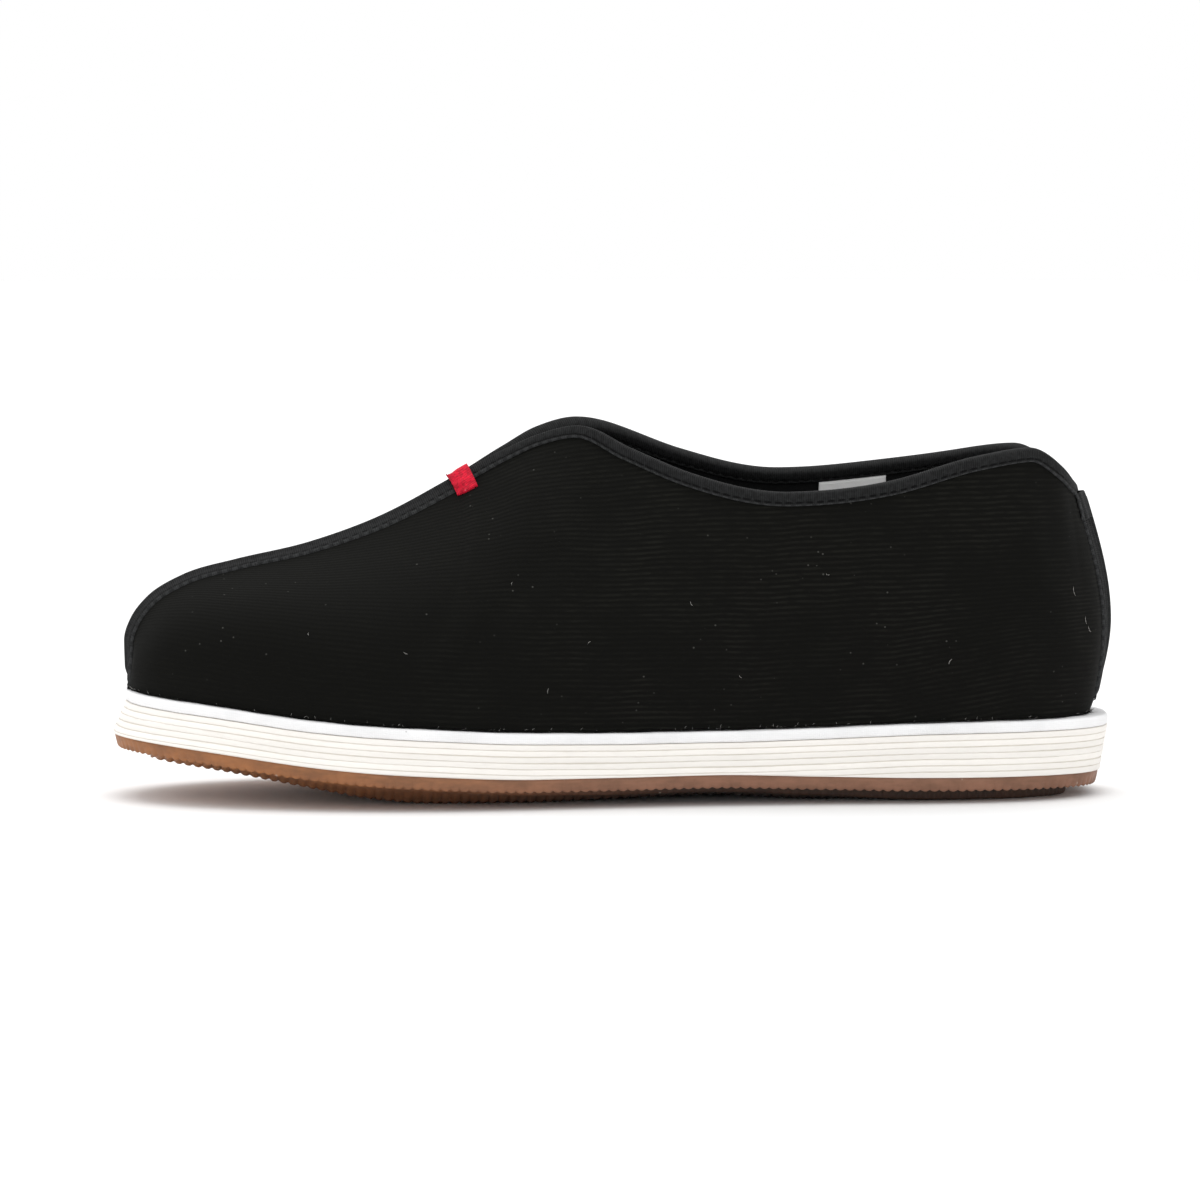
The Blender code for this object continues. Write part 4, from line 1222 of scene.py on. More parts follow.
def make_welt(looks, finish):
    """The board wrapped in cotton: a profile of rounded corners carried round the sole, whose
    heights and insets are powers of a sine and a cosine. Its edge wanders in and out in slow
    waves, and its top, which the upper stands on, is flat."""
    rim = Rim(looks.welt_points)
    turn = np.linspace(-90, 90, 15)
    radius = WELT_THICKNESS / 2
    upward = np.sin(np.radians(turn))
    rise = np.sign(upward) * abs(upward) ** 0.65
    pull = 1 - np.cos(np.radians(turn)) ** 0.55
    wander = looks.welt_wander * waves(rim.gone, (0.097, 0.041, 0.019, 0.0083), 7)
    swell = WELT_SWELL * waves(rim.gone, (0.055, 0.027, 0.012, 0.0061), 8)
    bottom, top = welt_bottom(rim.x) + WELT_LIFT, sole_top(rim.x)
    middle, half = (bottom + top) / 2, (top - bottom) / 2
    insets = top_inset(rim.place) + wander + pull[:, None] * radius * 0.75
    heights = middle + half * rise[:, None]
    heights = heights + swell * np.clip(turn / 90, 0, 1)[:, None] * np.cos(np.radians(turn))[:, None]
    side = rim.rings(insets, heights)
    inner = np.linspace(0.15, 1, 8)[:, None] * (ledge(rim.place) + SHELF_UNDER) + insets[-1]
    dish = WELT_DISH * waves(rim.gone, (0.033, 0.014), 9)
    dish = dish * np.sin(np.pi * np.linspace(0.1, 1, 8))[:, None]
    shelf = rim.rings(inner, top + dish)
    strip = np.concatenate([side, shelf])
    sheets = [
        sheet(strip, 0, rim.map(lengths_along(strip, 0).mean(axis=1)[:, None] + 0 * insets[0])),
        rim.lid(strip[0]),
        rim.lid(strip[-1]),
    ]
    return make_piece("welt_cotton", sheets, [finish], ["welt"])


def make_insole(looks, finish):
    """The felt sock: its edge rolls over, and its face is dished under the heel and the ball by
    soft bells."""
    rim = Rim(looks.insole_points)
    inner = top_inset(rim.place) + ledge(rim.place) + WALL + INSOLE_CLEARANCE
    low = sole_top(rim.x) + GAP
    levels = np.array([0.0, 0.35, 0.7, 0.9, 1.0])
    pull = np.array([0.0, 0.0, 0.1, 0.45, 1.1]) * MM
    side = rim.rings(inner + pull[:, None], low + INSOLE_THICKNESS * levels[:, None])
    face = rim.across(side[-1], INSOLE_COLUMNS)
    share = np.sin(np.pi * np.linspace(0, 1, INSOLE_COLUMNS)) ** 0.5
    heel = bell(face[..., 0], HEEL_DISH, HEEL_DISH_WIDTH)
    ball = bell(face[..., 0], BALL_DISH, BALL_DISH_WIDTH)
    face[..., 2] -= looks.insole_dish * (heel + BALL_DISH_SHARE * ball) * share
    sheets = [
        sheet(side, 0, rim.map(levels[:, None] * INSOLE_THICKNESS)),
        sheet(face),
        rim.lid(side[0]),
    ]
    return make_piece("insole_felt", sheets, [finish], ["insole"])


# The upper


def fold_height(x, z, side):
    """How far the cloth's soft folds lift or sink it: each fold is a bell across its line, with a
    weak opposite swell on both sides of it."""
    total = 0 * x
    for fold in FOLDS:
        if fold.side in (0, side):
            start = np.array([fold.x1, fold.z1]) * MM
            line = np.array([fold.x2, fold.z2]) * MM - start
            share = np.clip(((x - start[0]) * line[0] + (z - start[1]) * line[1]) / (line @ line), 0, 1)
            away = np.hypot(x - start[0] - share * line[0], z - start[1] - share * line[1])
            reach = (away / (fold.width * MM)) ** 2
            total = total + fold.depth * MM * (1 - 0.6 * reach) * np.exp(-reach)
    return total


def wale_shift(station, line):
    """How far a wale lies above its own line along the foot: it climbs toward the heel low down,
    and wanders in slow waves."""
    x = foot_line(station, LATERAL)[0][..., 0]
    climb = np.tan(np.radians(CLIMB_DEGREES)) * np.clip(CLIMB_X - x, 0, CLIMB_REACH)
    low = 1 - rise_to(*CLIMB_FADE, line)
    slow = waves(x, (0.113, 0.049, 0.021), 11) * 0.28 * MM
    quick = waves(x + line, (0.037, 0.017), 12) * 0.12 * MM
    return climb * low + (slow + quick)


def make_panel(name, side, looks, finishes):
    """One side panel of corduroy. Its rows follow the wales: each is a line of even distance up
    from the foot along the hoops, so the cloth stands out by the square root of a sine over every
    wale. Soft folds move it too. Behind it, a wall away, lies the lining."""
    stations = even_stations(0.0, KNOTS[-1], looks.panel_columns, side)
    step = looks.wale_pitch / looks.rows_per_wale
    shares = np.linspace(0, 1, 161)
    hoops = panel(*net_of(stations, shares), side)
    gone = lengths_along(hoops, 1)
    line = np.arange(-int(WALES_BELOW / step), int(gone.max() / step) + 4) * step
    up = line + wale_shift(*net_of(stations, line))
    up = np.clip(up, 0, gone[:, -1:])
    up[:, -1], up[:, 0] = gone[:, -1], 0.0
    share = np.array([np.interp(at, row, shares) for at, row in zip(up, gone)])
    station = stations[:, None] + 0 * share
    plain = in_wall(station, share, side, 0 * share)
    from_tape = np.minimum(gone[:, -1:] - up, lengths_along(plain[::-1], 0)[::-1])
    under_tape = rise_to(*WALE_FADE, from_tape)
    worn = 0.82 + 0.24 * waves(station + 3 * up, (0.047, 0.0187, 0.0071, 0.0031), 13)
    worn = worn * (1 - 0.55 * rise_to(-10 * MM, 80 * MM, plain[..., 0]))
    wale = np.sqrt(abs(np.sin(np.pi * line / looks.wale_pitch)))
    relief = looks.wale_height * wale * worn * under_tape
    folds = fold_height(plain[..., 0], plain[..., 2], side) * looks.fold_scale
    folds = folds * rise_to(*FOLD_FOOT_FADE, up) * rise_to(*FOLD_EDGE_FADE, from_tape)
    outer = in_wall(station, share, side, -(relief + folds))
    outer[-1, :, 1] = 0.0
    mapping = np.stack(net_of(stations, line), axis=-1) / CM
    station, share = net_of(stations, np.linspace(1, 0, 28))
    inner = in_wall(station, share, side, WALL + 0 * share)
    inner[-1, :, 1] = 0.0
    rim = np.stack([outer[:, -1], inner[:, 0]])
    foot = np.stack([inner[:, -1], outer[:, 0]])
    sheets = [
        sheet(outer, 0, mapping),
        sheet(rim, 1),
        sheet(inner, 1),
        sheet(foot, 1),
    ]
    cap = np.concatenate([outer[-1], inner[-1]])
    keep = np.concatenate([[True], np.linalg.norm(np.diff(cap, axis=0), axis=-1) > WELD])
    return make_piece(name, sheets, finishes, ["upper"], [cap[keep]])


# Tapes, tabs and stitches

def seam_tape(name, place, along, finish, node, far_roll=0.0):
    """The tapes of both panels where they are sewn side by side: on each side a flat strip with a
    stitched edge, then a round roll, and a sharp valley between the rolls. They thin out to their
    lower end. The far roll may stand higher, by a bell across it and along it."""
    downs, outs = np.array(SEAM_SECTION).T * MM
    gone = np.linspace(0, 1, len(along))[:, None] * abs(along[-1] - along[0])
    full = 0.3 + 0.7 * rise_to(0.0, 5 * MM, gone)
    proud = outs * full
    lift = far_roll * rise_to(0.0, 26 * MM, gone) * bell(downs, FAR_ROLL_MIDDLE, FAR_ROLL_WIDTH)
    over = bent(place, along, downs, proud, proud + lift)
    under = bent(place, along, downs, 0.04 * MM + 0 * outs, 0.04 * MM + 0 * outs)
    return make_piece(name, slab(over, under), [finish], [node])


def collar_profile(leg):
    """The folded tape's section: half an ellipse over the panel's edge, a flat leg down each
    side, a groove where it is stitched and a round edge."""
    proud = TAPE_CLEARANCE + TAPE
    turn = np.radians(np.linspace(0, 180, 19))
    fold_down = -proud * np.sin(turn)
    fold_out = -WALL / 2 + (WALL / 2 + proud - 0.12 * MM) * np.cos(turn)
    from_end = np.array([0.0, 0.0, 0.25 * MM, 0.6 * MM, STITCH_DROP, 1.15 * MM])
    leg_down = np.append(leg - from_end, leg * 0.4)
    leg_out = np.array([0.10, 0.62, 0.92, 0.90, 0.68, 0.92, 1.22]) * MM
    downs = np.concatenate([leg_down, fold_down, leg_down[::-1]])
    outs = np.concatenate([leg_out, fold_out, -WALL - leg_out[::-1]])
    under_down = np.where(downs < 0, -0.15 * MM, downs)
    under_out = np.clip(outs, -WALL - 0.06 * MM, 0.06 * MM)
    return downs, outs, under_down, under_out


def collar_tape(name, side, looks, finish, node):
    """The binding of one panel's free edge: its folded section carried along the collar."""
    stations = even_stations(SLIT_FULL, NOTCH_FULL + COLLAR_TAPE_REACH, looks.collar_columns, side)
    downs, outs, under_down, under_out = collar_profile(looks.tape_leg)
    over = off_edge(stations, downs, outs, side)
    under = off_edge(stations, under_down, under_out, side)
    return make_piece(name, slab(over, under), [finish], [node])


def collar_stitch(side, inside, looks):
    """A row of stitches in the groove of a collar tape, on its outer or inner leg."""
    stations = even_stations(SLIT_FULL + STITCH_MARGIN, NOTCH_FULL - 2 * STITCH_MARGIN, 260, side)
    down = looks.tape_leg - STITCH_DROP
    out = 0.80 * MM
    near = np.array([-WALL - out if inside else out])
    far = np.array([-WALL - 2 * out if inside else 2 * out])
    path = off_edge(stations, np.array([down]), near, side)[:, 0]
    beyond = off_edge(stations, np.array([down]), far, side)[:, 0]
    return stitch_row(path, beyond - path, looks)


def seam_stitch(place, along, side, looks):
    """A row of stitches in the groove of a seam tape, on one side of it."""
    down, out = np.array([3.95 * MM]), np.array([0.84 * MM])
    path = place(along, down, out, side)[:, 0]
    beyond = place(along, down, 2 * out, side)[:, 0]
    return stitch_row(path, beyond - path, looks)


def tab(name, place, along, rise, finish, node):
    """A short tape bent over a seam: a smooth curve from its crown down to the cloth, past the
    tapes' edges, with a hem along both ends. It thins out by a power of a sine to its two cut
    sides."""
    downs = TAB_REACH * np.linspace(1, 0, 29)
    knots = np.array([0.0, 0.16, 0.40, 0.68, 0.82, 1.0]) * TAB_REACH
    heights = np.array([1.0, 0.97, 0.80, 0.66, 0.40, 0.24]) * rise
    outs = smooth(knots, heights, downs)
    share = downs / TAB_REACH
    hem = 0.16 * MM * rise_to(0.78, 0.84, share) * (1 - rise_to(0.985, 1.0, share))
    floor = np.maximum(outs - TAB, 0.06 * MM)
    over = bent(place, along, downs, outs + hem, outs + hem)
    under = bent(place, along, downs, floor, floor)
    puff = np.sin(np.pi * np.linspace(0, 1, len(along)))[:, None, None] ** 0.35
    middle = (over + under) / 2
    over = middle + (over - middle) * (0.55 + 0.45 * puff)
    return make_piece(name, slab(over, under), [finish], [node])


def make_label(looks, finish):
    """A bare woven label on the lining: a thin slab that lifts off a little at its lower corners,
    by a square of the way to them."""
    collar = slice(KEYS.index("peak"), KEYS.index("heel_seam"))
    middle = np.interp(-LABEL_ALONG, -column(HOOPS, "along")[collar], KNOTS[collar])
    ends = np.linspace(-0.5, 0.5, 25)
    stations = middle + 1.6 * MM + LABEL_LENGTH * ends
    downs = looks.tape_leg + GAP / 2 + LABEL_HEIGHT * np.linspace(0, 1, 15)
    lift = 0.55 * MM * np.outer((2 * ends) ** 4, np.linspace(0, 1, 15) ** 2)
    over = off_edge(stations, downs, 0 * downs - WALL - 0.15 * MM - LABEL, MEDIAL)
    under = off_edge(stations, downs, 0 * downs - WALL - 0.15 * MM, MEDIAL)
    inward = unit(over - under) * lift[..., None]
    sheets = slab(over + inward, under + inward)
    return make_piece("label_cloth", sheets, [finish], ["label"])


# Lint and fuzz


def nearest_on_panel(x, z):
    """Station and share of the outer panel's point at a place on the side view, from a fixed
    net of points over it."""
    stations = np.linspace(2 * MM, KNOTS[-1] - MM, 420)
    shares = np.linspace(0.02, 0.97, 200)
    net = panel(*net_of(stations, shares), LATERAL)
    away = (net[..., 0] - x) ** 2 + (net[..., 2] - z) ** 2
    row, place = np.unravel_index(np.argmin(away), away.shape)
    return stations[row], shares[place]


def make_lint(looks, finish):
    """Loose white fibres caught on the cloth: short arcs that bow off its face."""
    share = np.linspace(-0.5, 0.5, 7)
    centres, ways = [], []
    for lint in LINT:
        station, at = nearest_on_panel(lint.x * MM, lint.z * MM)
        station, at = np.array([station]), np.array([at])
        foot = panel(station, at, LATERAL)[0]
        out = through_wall(station, at, LATERAL)[0]
        turn = np.radians(lint.turn)
        flat = np.array([np.cos(turn), 0.0, np.sin(turn)])
        flat = unit(flat - (flat @ out) * out)
        aside = np.cross(out, flat)
        length = lint.length * MM
        bow = (0.25 - share**2) * length * 0.8
        rise = looks.wale_height + 0.16 * MM + (0.25 - share**2) * 0.35 * MM
        centres.append(foot + np.outer(share * length, flat) + np.outer(bow, aside) + np.outer(rise, out))
        ways.append(np.tile(out, (7, 1)))
    radius = looks.lint * np.sqrt(np.maximum(1 - (2 * share) ** 6, 0))
    fibres = tubes(np.array(centres), np.array(ways), radius, 5)
    return make_piece("lint_fibres", [fibres], [finish], ["upper"])


def make_fuzz(name, count, upward, seed, looks, finish):
    """Nap and loose fibres at the foot of the panels: short hairs of mixed length and lean, tapered
    to a point, strewn evenly with a fixed seed. upward is how much they stand up from the welt."""
    strewn = np.random.default_rng(seed)
    rows = []
    for side in (LATERAL, MEDIAL):
        even = even_stations(MM, KNOTS[-1] - 0.5 * MM, 400, side)
        stations = np.interp(strewn.uniform(0, 1, count // 2), np.linspace(0, 1, 400), even)
        foot, outward = foot_line(stations, side)
        length = strewn.uniform(*HAIR_LENGTHS, (len(stations), 1, 1)) * MM
        lean = strewn.uniform(*HAIR_LEANS, (len(stations), 1))
        lift = strewn.uniform(*HAIR_LIFTS, (len(stations), 1)) + upward
        way = unit(outward + lean * np.cross(outward, [0.0, 0.0, 1.0]) + lift * np.array([0.0, 0.0, 1.0]))
        share = np.linspace(0, 1, 4)[None, :, None]
        curl = unit(np.cross(way, outward))[:, None] * share**2 * length * 0.35
        start = foot + outward * 0.1 * MM
        start[:, 2:] += strewn.uniform(0.0, 0.35, (len(stations), 1)) * MM * (1 + 2 * upward)
        rows.append(start[:, None] + way[:, None] * share * length + curl)
    centres = np.concatenate(rows)
    up = np.zeros_like(centres)
    up[..., 2] = 1.0
    up[..., 1] = 0.3
    hairs = tubes(centres, up, looks.hair * np.array([0.7, 1.0, 0.6, 0.0]), 3)
    return make_piece(name, [hairs], [finish], ["upper"])


# What a user can change


def size_prop(name, description, default, low=0.0, high=1.0):
    """A length."""
    return FloatProperty(
        name=name, description=description, default=default, min=low, max=high, unit="LENGTH", precision=5
    )


def colour_prop(name, description, default):
    """A colour of red, green and blue."""
    return FloatVectorProperty(
        name=name, description=description, default=default, subtype="COLOR", size=3, min=0.0, max=1.0
    )


def count_prop(name, description, default, low=4, high=4000):
    """A whole number."""
    return IntProperty(name=name, description=description, default=default, min=low, max=high)


def angle_prop(name, description, degrees):
    """An angle, from its degrees."""
    return FloatProperty(
        name=name, description=description, default=np.radians(degrees), subtype="ANGLE"
    )


def number_prop(name, description, default, **limits):
    """A plain number."""
    return FloatProperty(name=name, description=description, default=default, **limits)


class ClothLooks(bpy.types.PropertyGroup):
    """Sizes and colours of the upper, its tapes and what is sewn or caught on it."""

    wale_pitch: size_prop("Wale pitch", "From one wale of the corduroy to the next", 1.55 * MM)
    wale_height: size_prop("Wale height", "How far the wales stand out", 0.14 * MM)
    rows_per_wale: count_prop("Rows per wale", "Rows of the mesh in each wale", 4, 2, 8)
    panel_columns: count_prop("Panel columns", "Columns of the mesh along each panel", 250)
    fold_scale: number_prop("Folds", "Depth of the soft folds", 1.0, min=0, max=2)
    corduroy: colour_prop("Corduroy", "Colour of the corduroy", (0.0052, 0.0052, 0.0042))
    tape: colour_prop("Tape", "Colour of the ribbed tape and the lining", (0.0095, 0.0098, 0.0100))
    red: colour_prop("Red tab", "Colour of the front tab", (0.68, 0.008, 0.034))
    collar_columns: count_prop("Collar columns", "Columns of the mesh along each collar tape", 420)
    tape_leg: size_prop("Tape leg", "How far the collar tape comes down the panel", 2.95 * MM)
    rib_pitch: size_prop("Rib pitch", "From one rib of the tape to the next", 0.62 * MM)
    stitch_pitch: size_prop("Stitch pitch", "From one stitch to the next", 3.0 * MM)
    stitch_length: size_prop("Stitch length", "Length of one stitch", 2.1 * MM)
    thread: size_prop("Thread", "Half the thread's thickness", 0.24 * MM)
    lint: size_prop("Lint", "Half the thickness of a fibre of lint", 0.035 * MM)
    hair: size_prop("Hair", "Half the thickness of a hair of nap", 0.06 * MM)
    fuzz_count: count_prop("Fuzz", "Number of hairs over the welt", 2600, 10, 6000)


class SoleLooks(bpy.types.PropertyGroup):
    """Sizes and colours of the sole's layers."""

    outsole_points: count_prop("Outsole points", "Points of the mesh round the outsole", 2000)
    midsole_points: count_prop("Midsole points", "Points of the mesh round the midsole", 720)
    welt_points: count_prop("Welt points", "Points of the mesh round the welt", 900)
    insole_points: count_prop("Insole points", "Points of the mesh round the insole", 360)
    scallop_pitch: size_prop("Scallop pitch", "From one lobe of the wall's edge to the next", 2.72 * MM)
    scallop_drop: size_prop("Scallop drop", "How far the lobes hang down", 0.55 * MM)
    knurl_depth: size_prop("Knurl depth", "Depth of the tread's upright grooves", 0.7 * MM)
    tread_pitch: size_prop("Tread pitch", "From one rib of the tread to the next", 2.72 * MM)
    tread_depth: size_prop("Tread depth", "Depth of the tread's cross grooves", 0.5 * MM)
    layer_groove: size_prop("Layer groove", "Depth of the joins between the layers", 0.35 * MM)
    layer_wander: size_prop("Layer wander", "How far a layer's edge moves in and out", 0.22 * MM)
    welt_wander: size_prop("Welt wander", "How far the welt's edge moves in and out", 0.30 * MM)
    insole_dish: size_prop("Insole dish", "How far the insole is worn down", 1.0 * MM)
    gum_toe: colour_prop("Gum at the toe", "Colour of the rubber at the toe", (0.330, 0.125, 0.037))
    gum_heel: colour_prop("Gum at the heel", "Colour of the rubber at the heel", (0.250, 0.115, 0.066))
    # Painted shade: the dark colour that the tread takes behind the ball
    gum_tread_shade: colour_prop("Tread", "Colour of the tread behind the ball", (0.045, 0.024, 0.016))
    cream: colour_prop("Cream layers", "Colour of the stacked layers", (0.90, 0.868, 0.823))
    cotton: colour_prop("White cotton", "Colour of the welt's cotton", (0.90, 0.90, 0.905))


class StageLooks(bpy.types.PropertyGroup):
    """The studio: its camera, its lights and its floor."""

    azimuth: angle_prop("Azimuth", "Way the camera looks, 0 along +Y", 177)
    elevation: angle_prop("Elevation", "Height of the camera", 5)
    distance: size_prop("Distance", "From the camera to the shoe", 2.6, 0.5, 10.0)
    view_width: size_prop(
        "View width", "Width of the picture at the shoe", PICTURE_WIDTH * MM_A_PIXEL * MM
    )
    shift_x: number_prop("Shift x", "Sideways shift of the view", -11 / PICTURE_WIDTH)
    shift_y: number_prop("Shift y", "Upward shift of the view", 20.6 / PICTURE_WIDTH)
    sky: number_prop("Sky", "Brightness of the white surround", 1.0, min=0)
    key: number_prop("Key", "Strength of the overhead light", 1.3, min=0)
    softness: angle_prop("Softness", "Width of the overhead light", 42)
    fill: number_prop("Fill", "Power of the front light", 3.0, min=0, unit="POWER")
    floor: colour_prop("Floor", "Colour of the floor", (0.90, 0.90, 0.90))
    floor_radius: size_prop("Floor radius", "Half the width of the floor", 3.0, 0.5, 20.0)


# Operators: one for each piece or group of like pieces


class SHOE_OT_outsole(bpy.types.Operator):
    """Makes the gum rubber outsole with its scalloped wall and its tread"""

    bl_idname = "shoe.outsole"
    bl_label = "Outsole"

    def execute(self, context):
        looks = context.scene.shoe_sole
        # The tread's finish carries the painted shade behind the ball; the wall's finish has none
        finishes = [gum_finish(looks, "brown gum rubber", 0.0), gum_finish(looks, "gum rubber tread", 1.0)]
        make_outsole(looks, finishes)
        return {"FINISHED"}


class SHOE_OT_midsole(bpy.types.Operator):
    """Makes the stacked cream layers"""

    bl_idname = "shoe.midsole"
    bl_label = "Midsole"

    def execute(self, context):
        looks = context.scene.shoe_sole
        make_midsole(looks, layers_finish(looks))
        return {"FINISHED"}


class SHOE_OT_welt(bpy.types.Operator):
    """Makes the cotton-wrapped welt"""

    bl_idname = "shoe.welt"
    bl_label = "Welt"

    def execute(self, context):
        looks = context.scene.shoe_sole
        make_welt(looks, cotton_finish(looks))
        return {"FINISHED"}


class SHOE_OT_insole(bpy.types.Operator):
    """Makes the felt insole"""

    bl_idname = "shoe.insole"
    bl_label = "Insole"

    def execute(self, context):
        looks = context.scene.shoe_sole
        make_insole(looks, felt_finish())
        return {"FINISHED"}


class SHOE_OT_panels(bpy.types.Operator):
    """Makes both corduroy panels with their lining"""

    bl_idname = "shoe.panels"
    bl_label = "Panels"

    def execute(self, context):
        looks = context.scene.shoe_cloth
        finishes = [corduroy_finish(looks), lining_finish(looks)]
        make_panel("panel_lateral", LATERAL, looks, finishes)
        make_panel("panel_medial", MEDIAL, looks, finishes)
        return {"FINISHED"}


class SHOE_OT_tapes(bpy.types.Operator):
    """Makes the ribbed tapes over the seams and round the collar"""

    bl_idname = "shoe.tapes"
    bl_label = "Tapes"

    def execute(self, context):
        looks = context.scene.shoe_cloth
        finish = tape_finish(looks)
        front = even_stations(TAPE_END, SLIT_START, looks.collar_columns // 2)
        back = np.linspace(BACK_SEAM[0] + TAPE_END, BACK_SEAM[1] - HEEL_TAB_OVERLAP, 90)
        seam_tape("vamp_tape_ribbed", off_edge, front, finish, "vamp_tape")
        seam_tape("heel_tape_ribbed", off_seam, back, finish, "heel_tape", FAR_ROLL)
        collar_tape("collar_tape_outer_side", LATERAL, looks, finish, "collar_tape_lateral")
        collar_tape("collar_tape_inner_side", MEDIAL, looks, finish, "collar_tape_medial")
        return {"FINISHED"}


class SHOE_OT_stitches(bpy.types.Operator):
    """Sews the tapes down with rows of stitches"""

    bl_idname = "shoe.stitches"
    bl_label = "Stitches"

    def execute(self, context):
        looks = context.scene.shoe_cloth
        finish = thread_finish("black thread", (0.0012, 0.0012, 0.0014))
        front = even_stations(TAPE_END + MM, SLIT_START - STITCH_MARGIN, 200)
        top = BACK_SEAM[1] - HEEL_TAB_OVERLAP - STITCH_MARGIN
        back = np.linspace(BACK_SEAM[0] + TAPE_END + MM, top, 60)
        for side, name in ((LATERAL, "outer"), (MEDIAL, "inner")):
            collar = [collar_stitch(side, inside, looks) for inside in (False, True)]
            nodes = ["collar_tape_lateral" if side == LATERAL else "collar_tape_medial"]
            make_piece(f"collar_stitches_{name}_side", collar, [finish], nodes)
            seams = [seam_stitch(off_edge, front, side, looks), seam_stitch(off_seam, back, side, looks)]
            nodes = ["vamp_tape", "heel_tape"]
            make_piece(f"seam_stitches_{name}_side", seams, [finish], nodes)
        return {"FINISHED"}


class SHOE_OT_tabs(bpy.types.Operator):
    """Makes the red front tab and the black heel tab"""

    bl_idname = "shoe.tabs"
    bl_label = "Tabs"

    def execute(self, context):
        looks = context.scene.shoe_cloth
        red, black = red_finish(looks), tape_finish(looks)
        share = np.linspace(-0.5, 0.5, 25)
        front = FRONT_TAB + THROAT_TAB_SHIFT + TAB_WIDTH * share
        top = BACK_SEAM[1] - HEEL_TAB_DROP + HEEL_TAB_SHIFT
        back = top - (TAB_WIDTH + HEEL_TAB_SHIFT) * (share + 0.5)
        tab("throat_tab_red", off_edge, front, THROAT_TAB_RISE, red, "throat_tab")
        tab("heel_tab_black", off_seam, back, HEEL_TAB_RISE, black, "heel_tab")
        return {"FINISHED"}


class SHOE_OT_label(bpy.types.Operator):
    """Makes the bare label inside the collar"""

    bl_idname = "shoe.label"
    bl_label = "Label"

    def execute(self, context):
        make_label(context.scene.shoe_cloth, label_finish())
        return {"FINISHED"}


class SHOE_OT_lint(bpy.types.Operator):
    """Adds fibres of lint and the fuzz of the nap"""

    bl_idname = "shoe.lint"
    bl_label = "Lint and fuzz"

    def execute(self, context):
        looks = context.scene.shoe_cloth
        make_lint(looks, thread_finish("white lint", (0.62, 0.61, 0.58)))
        dark = thread_finish("black nap", (0.008, 0.008, 0.008))
        make_fuzz("welt_fuzz", looks.fuzz_count, 0.0, 29, looks, dark)
        pale = thread_finish("pale fibres", (0.45, 0.44, 0.42))
        make_fuzz("welt_fibres", looks.fuzz_count // 16, 0.5, 31, looks, pale)
        return {"FINISHED"}


class SHOE_OT_stage(bpy.types.Operator):
    """Sets up the floor, the lights and the camera"""

    bl_idname = "shoe.stage"
    bl_label = "Stage"

    def execute(self, context):
        looks = context.scene.shoe_stage
        scene = context.scene
        make_floor(looks)
        make_sky(looks)
        overhead = bpy.data.lights.new("overhead", "SUN")
        overhead.angle = looks.softness
        hang_light(overhead, OVERHEAD_PLACE, looks.key)
        front = bpy.data.lights.new("front", "AREA")
        front.size = 1.0
        hang_light(front, FRONT_PLACE, looks.fill)
        camera = bpy.data.objects.new("camera", bpy.data.cameras.new("camera"))
        scene.collection.objects.link(camera)
        flat = np.cos(looks.elevation)
        back = Vector((np.sin(looks.azimuth) * flat, -np.cos(looks.azimuth) * flat, np.sin(looks.elevation)))
        camera.location = Vector(SHOE_MIDDLE) + back * looks.distance
        camera.rotation_euler = (-back).to_track_quat("-Z", "Y").to_euler()
        camera.data.lens = camera.data.sensor_width * looks.distance / looks.view_width
        camera.data.shift_x, camera.data.shift_y = looks.shift_x, looks.shift_y
        camera.data.dof.use_dof = False
        scene.camera = camera
        scene.view_settings.view_transform = "Standard"
        return {"FINISHED"}


def make_floor(looks):
    """A flat round floor: rings of even steps from its middle to its rim."""
    turn = np.linspace(0, 2 * np.pi, 97)
    reach = np.linspace(0.0, looks.floor_radius, 9)[:, None]
    points = np.stack([reach * np.cos(turn), reach * np.sin(turn), 0 * reach * turn], axis=-1)
    mesh = bpy.data.meshes.new("floor")
    mesh.from_pydata(points.reshape(-1, 3).tolist(), [], quads_of(points.shape[:2], 0).tolist())
    work = bmesh.new()
    work.from_mesh(mesh)
    bmesh.ops.remove_doubles(work, verts=work.verts, dist=WELD)
    bmesh.ops.recalc_face_normals(work, faces=work.faces)
    if work.faces[0].normal.z < 0:
        bmesh.ops.reverse_faces(work, faces=work.faces)
    work.to_mesh(mesh)
    work.free()
    mesh.materials.append(floor_finish(looks))
    floor = bpy.data.objects.new("floor", mesh)
    bpy.context.scene.collection.objects.link(floor)


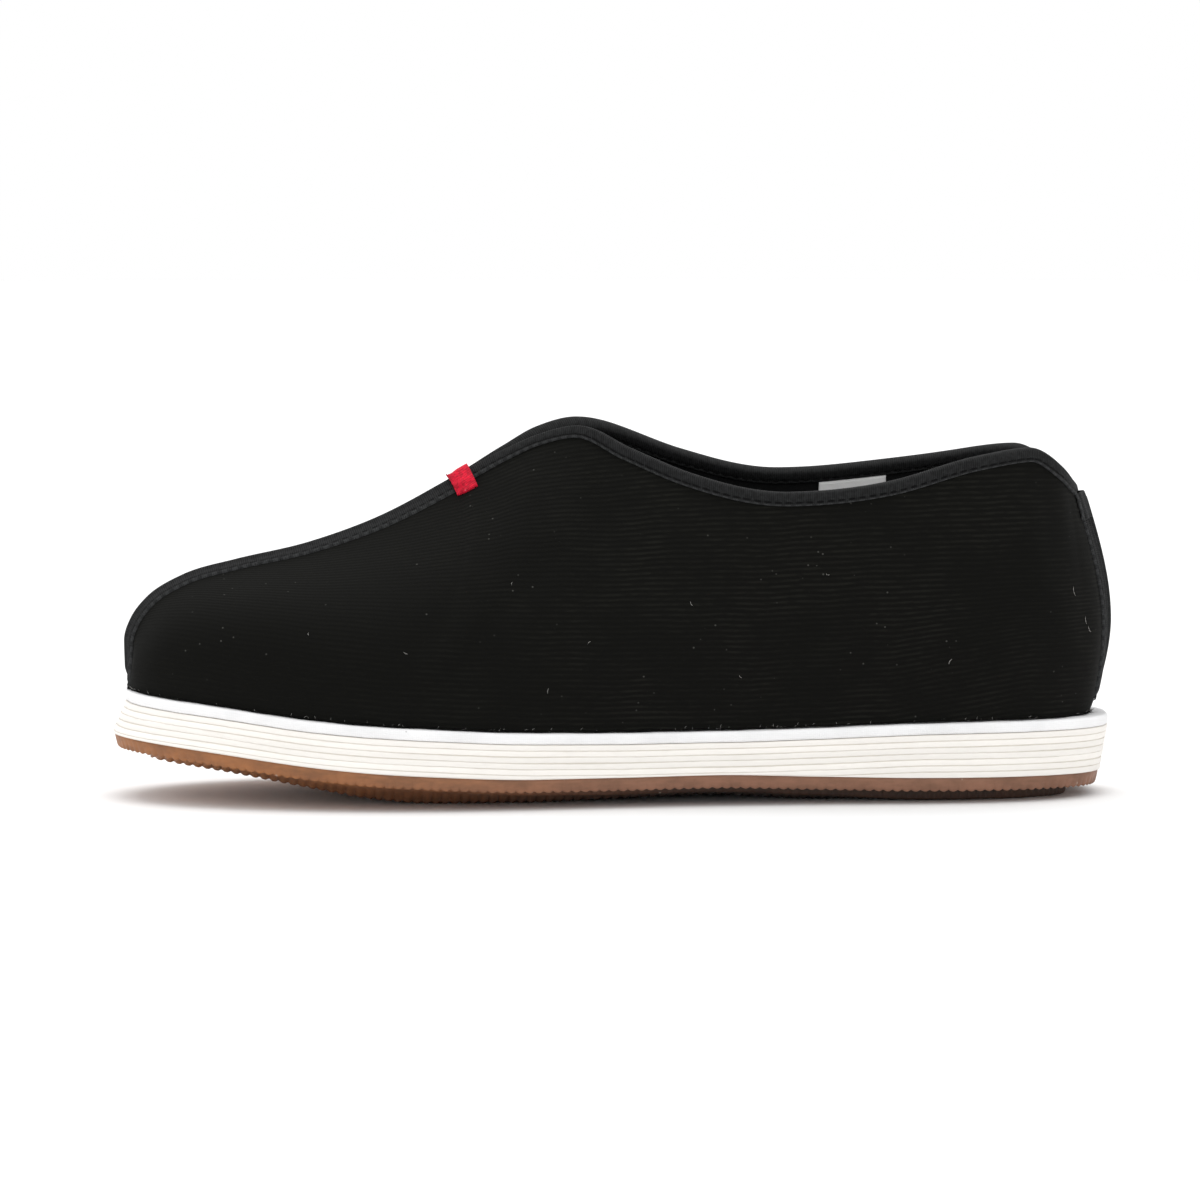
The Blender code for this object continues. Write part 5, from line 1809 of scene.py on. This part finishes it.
def make_sky(looks):
    """An even white surround."""
    world = bpy.data.worlds.new("studio")
    world.use_nodes = True
    background = world.node_tree.nodes["Background"]
    background.inputs["Color"].default_value = (1.0, 1.0, 1.0, 1.0)
    background.inputs["Strength"].default_value = looks.sky
    bpy.context.scene.world = world


def hang_light(lamp, place, power):
    """Hangs a light that looks at the middle of the shoe."""
    lamp.energy = power
    light = bpy.data.objects.new(lamp.name, lamp)
    bpy.context.scene.collection.objects.link(light)
    light.location = place
    way = Vector(SHOE_MIDDLE) - Vector(place)
    light.rotation_euler = way.to_track_quat("-Z", "Y").to_euler()


class SHOE_PT_shoe(bpy.types.Panel):
    """Buttons of the cloth shoe"""

    bl_idname = "SHOE_PT_shoe"
    bl_label = "Cloth shoe"
    bl_space_type = "VIEW_3D"
    bl_region_type = "UI"
    bl_category = "Cloth Shoe"

    def draw(self, context):
        for operator in OPERATORS:
            self.layout.operator(operator.bl_idname)
        for name, group in GROUPS.items():
            box = self.layout.box()
            for field in group.__annotations__:
                box.prop(getattr(context.scene, name), field)


OPERATORS = (
    SHOE_OT_outsole,
    SHOE_OT_midsole,
    SHOE_OT_welt,
    SHOE_OT_insole,
    SHOE_OT_panels,
    SHOE_OT_tapes,
    SHOE_OT_stitches,
    SHOE_OT_tabs,
    SHOE_OT_label,
    SHOE_OT_lint,
    SHOE_OT_stage,
)
GROUPS = {"shoe_cloth": ClothLooks, "shoe_sole": SoleLooks, "shoe_stage": StageLooks}


def register():
    """Adds the operators, the panel and the three groups of sizes."""
    for kind in (*GROUPS.values(), *OPERATORS, SHOE_PT_shoe):
        bpy.utils.register_class(kind)
    for name, group in GROUPS.items():
        setattr(bpy.types.Scene, name, PointerProperty(type=group))


def unregister():
    """Takes away what register added."""
    for name in GROUPS:
        delattr(bpy.types.Scene, name)
    for kind in (SHOE_PT_shoe, *reversed(OPERATORS), *reversed(list(GROUPS.values()))):
        bpy.utils.unregister_class(kind)


def main():
    """Makes the whole shoe and its stage."""
    register()
    for operator in OPERATORS:
        group, name = operator.bl_idname.split(".")
        getattr(getattr(bpy.ops, group), name)()


if __name__ == "__main__":
    main()
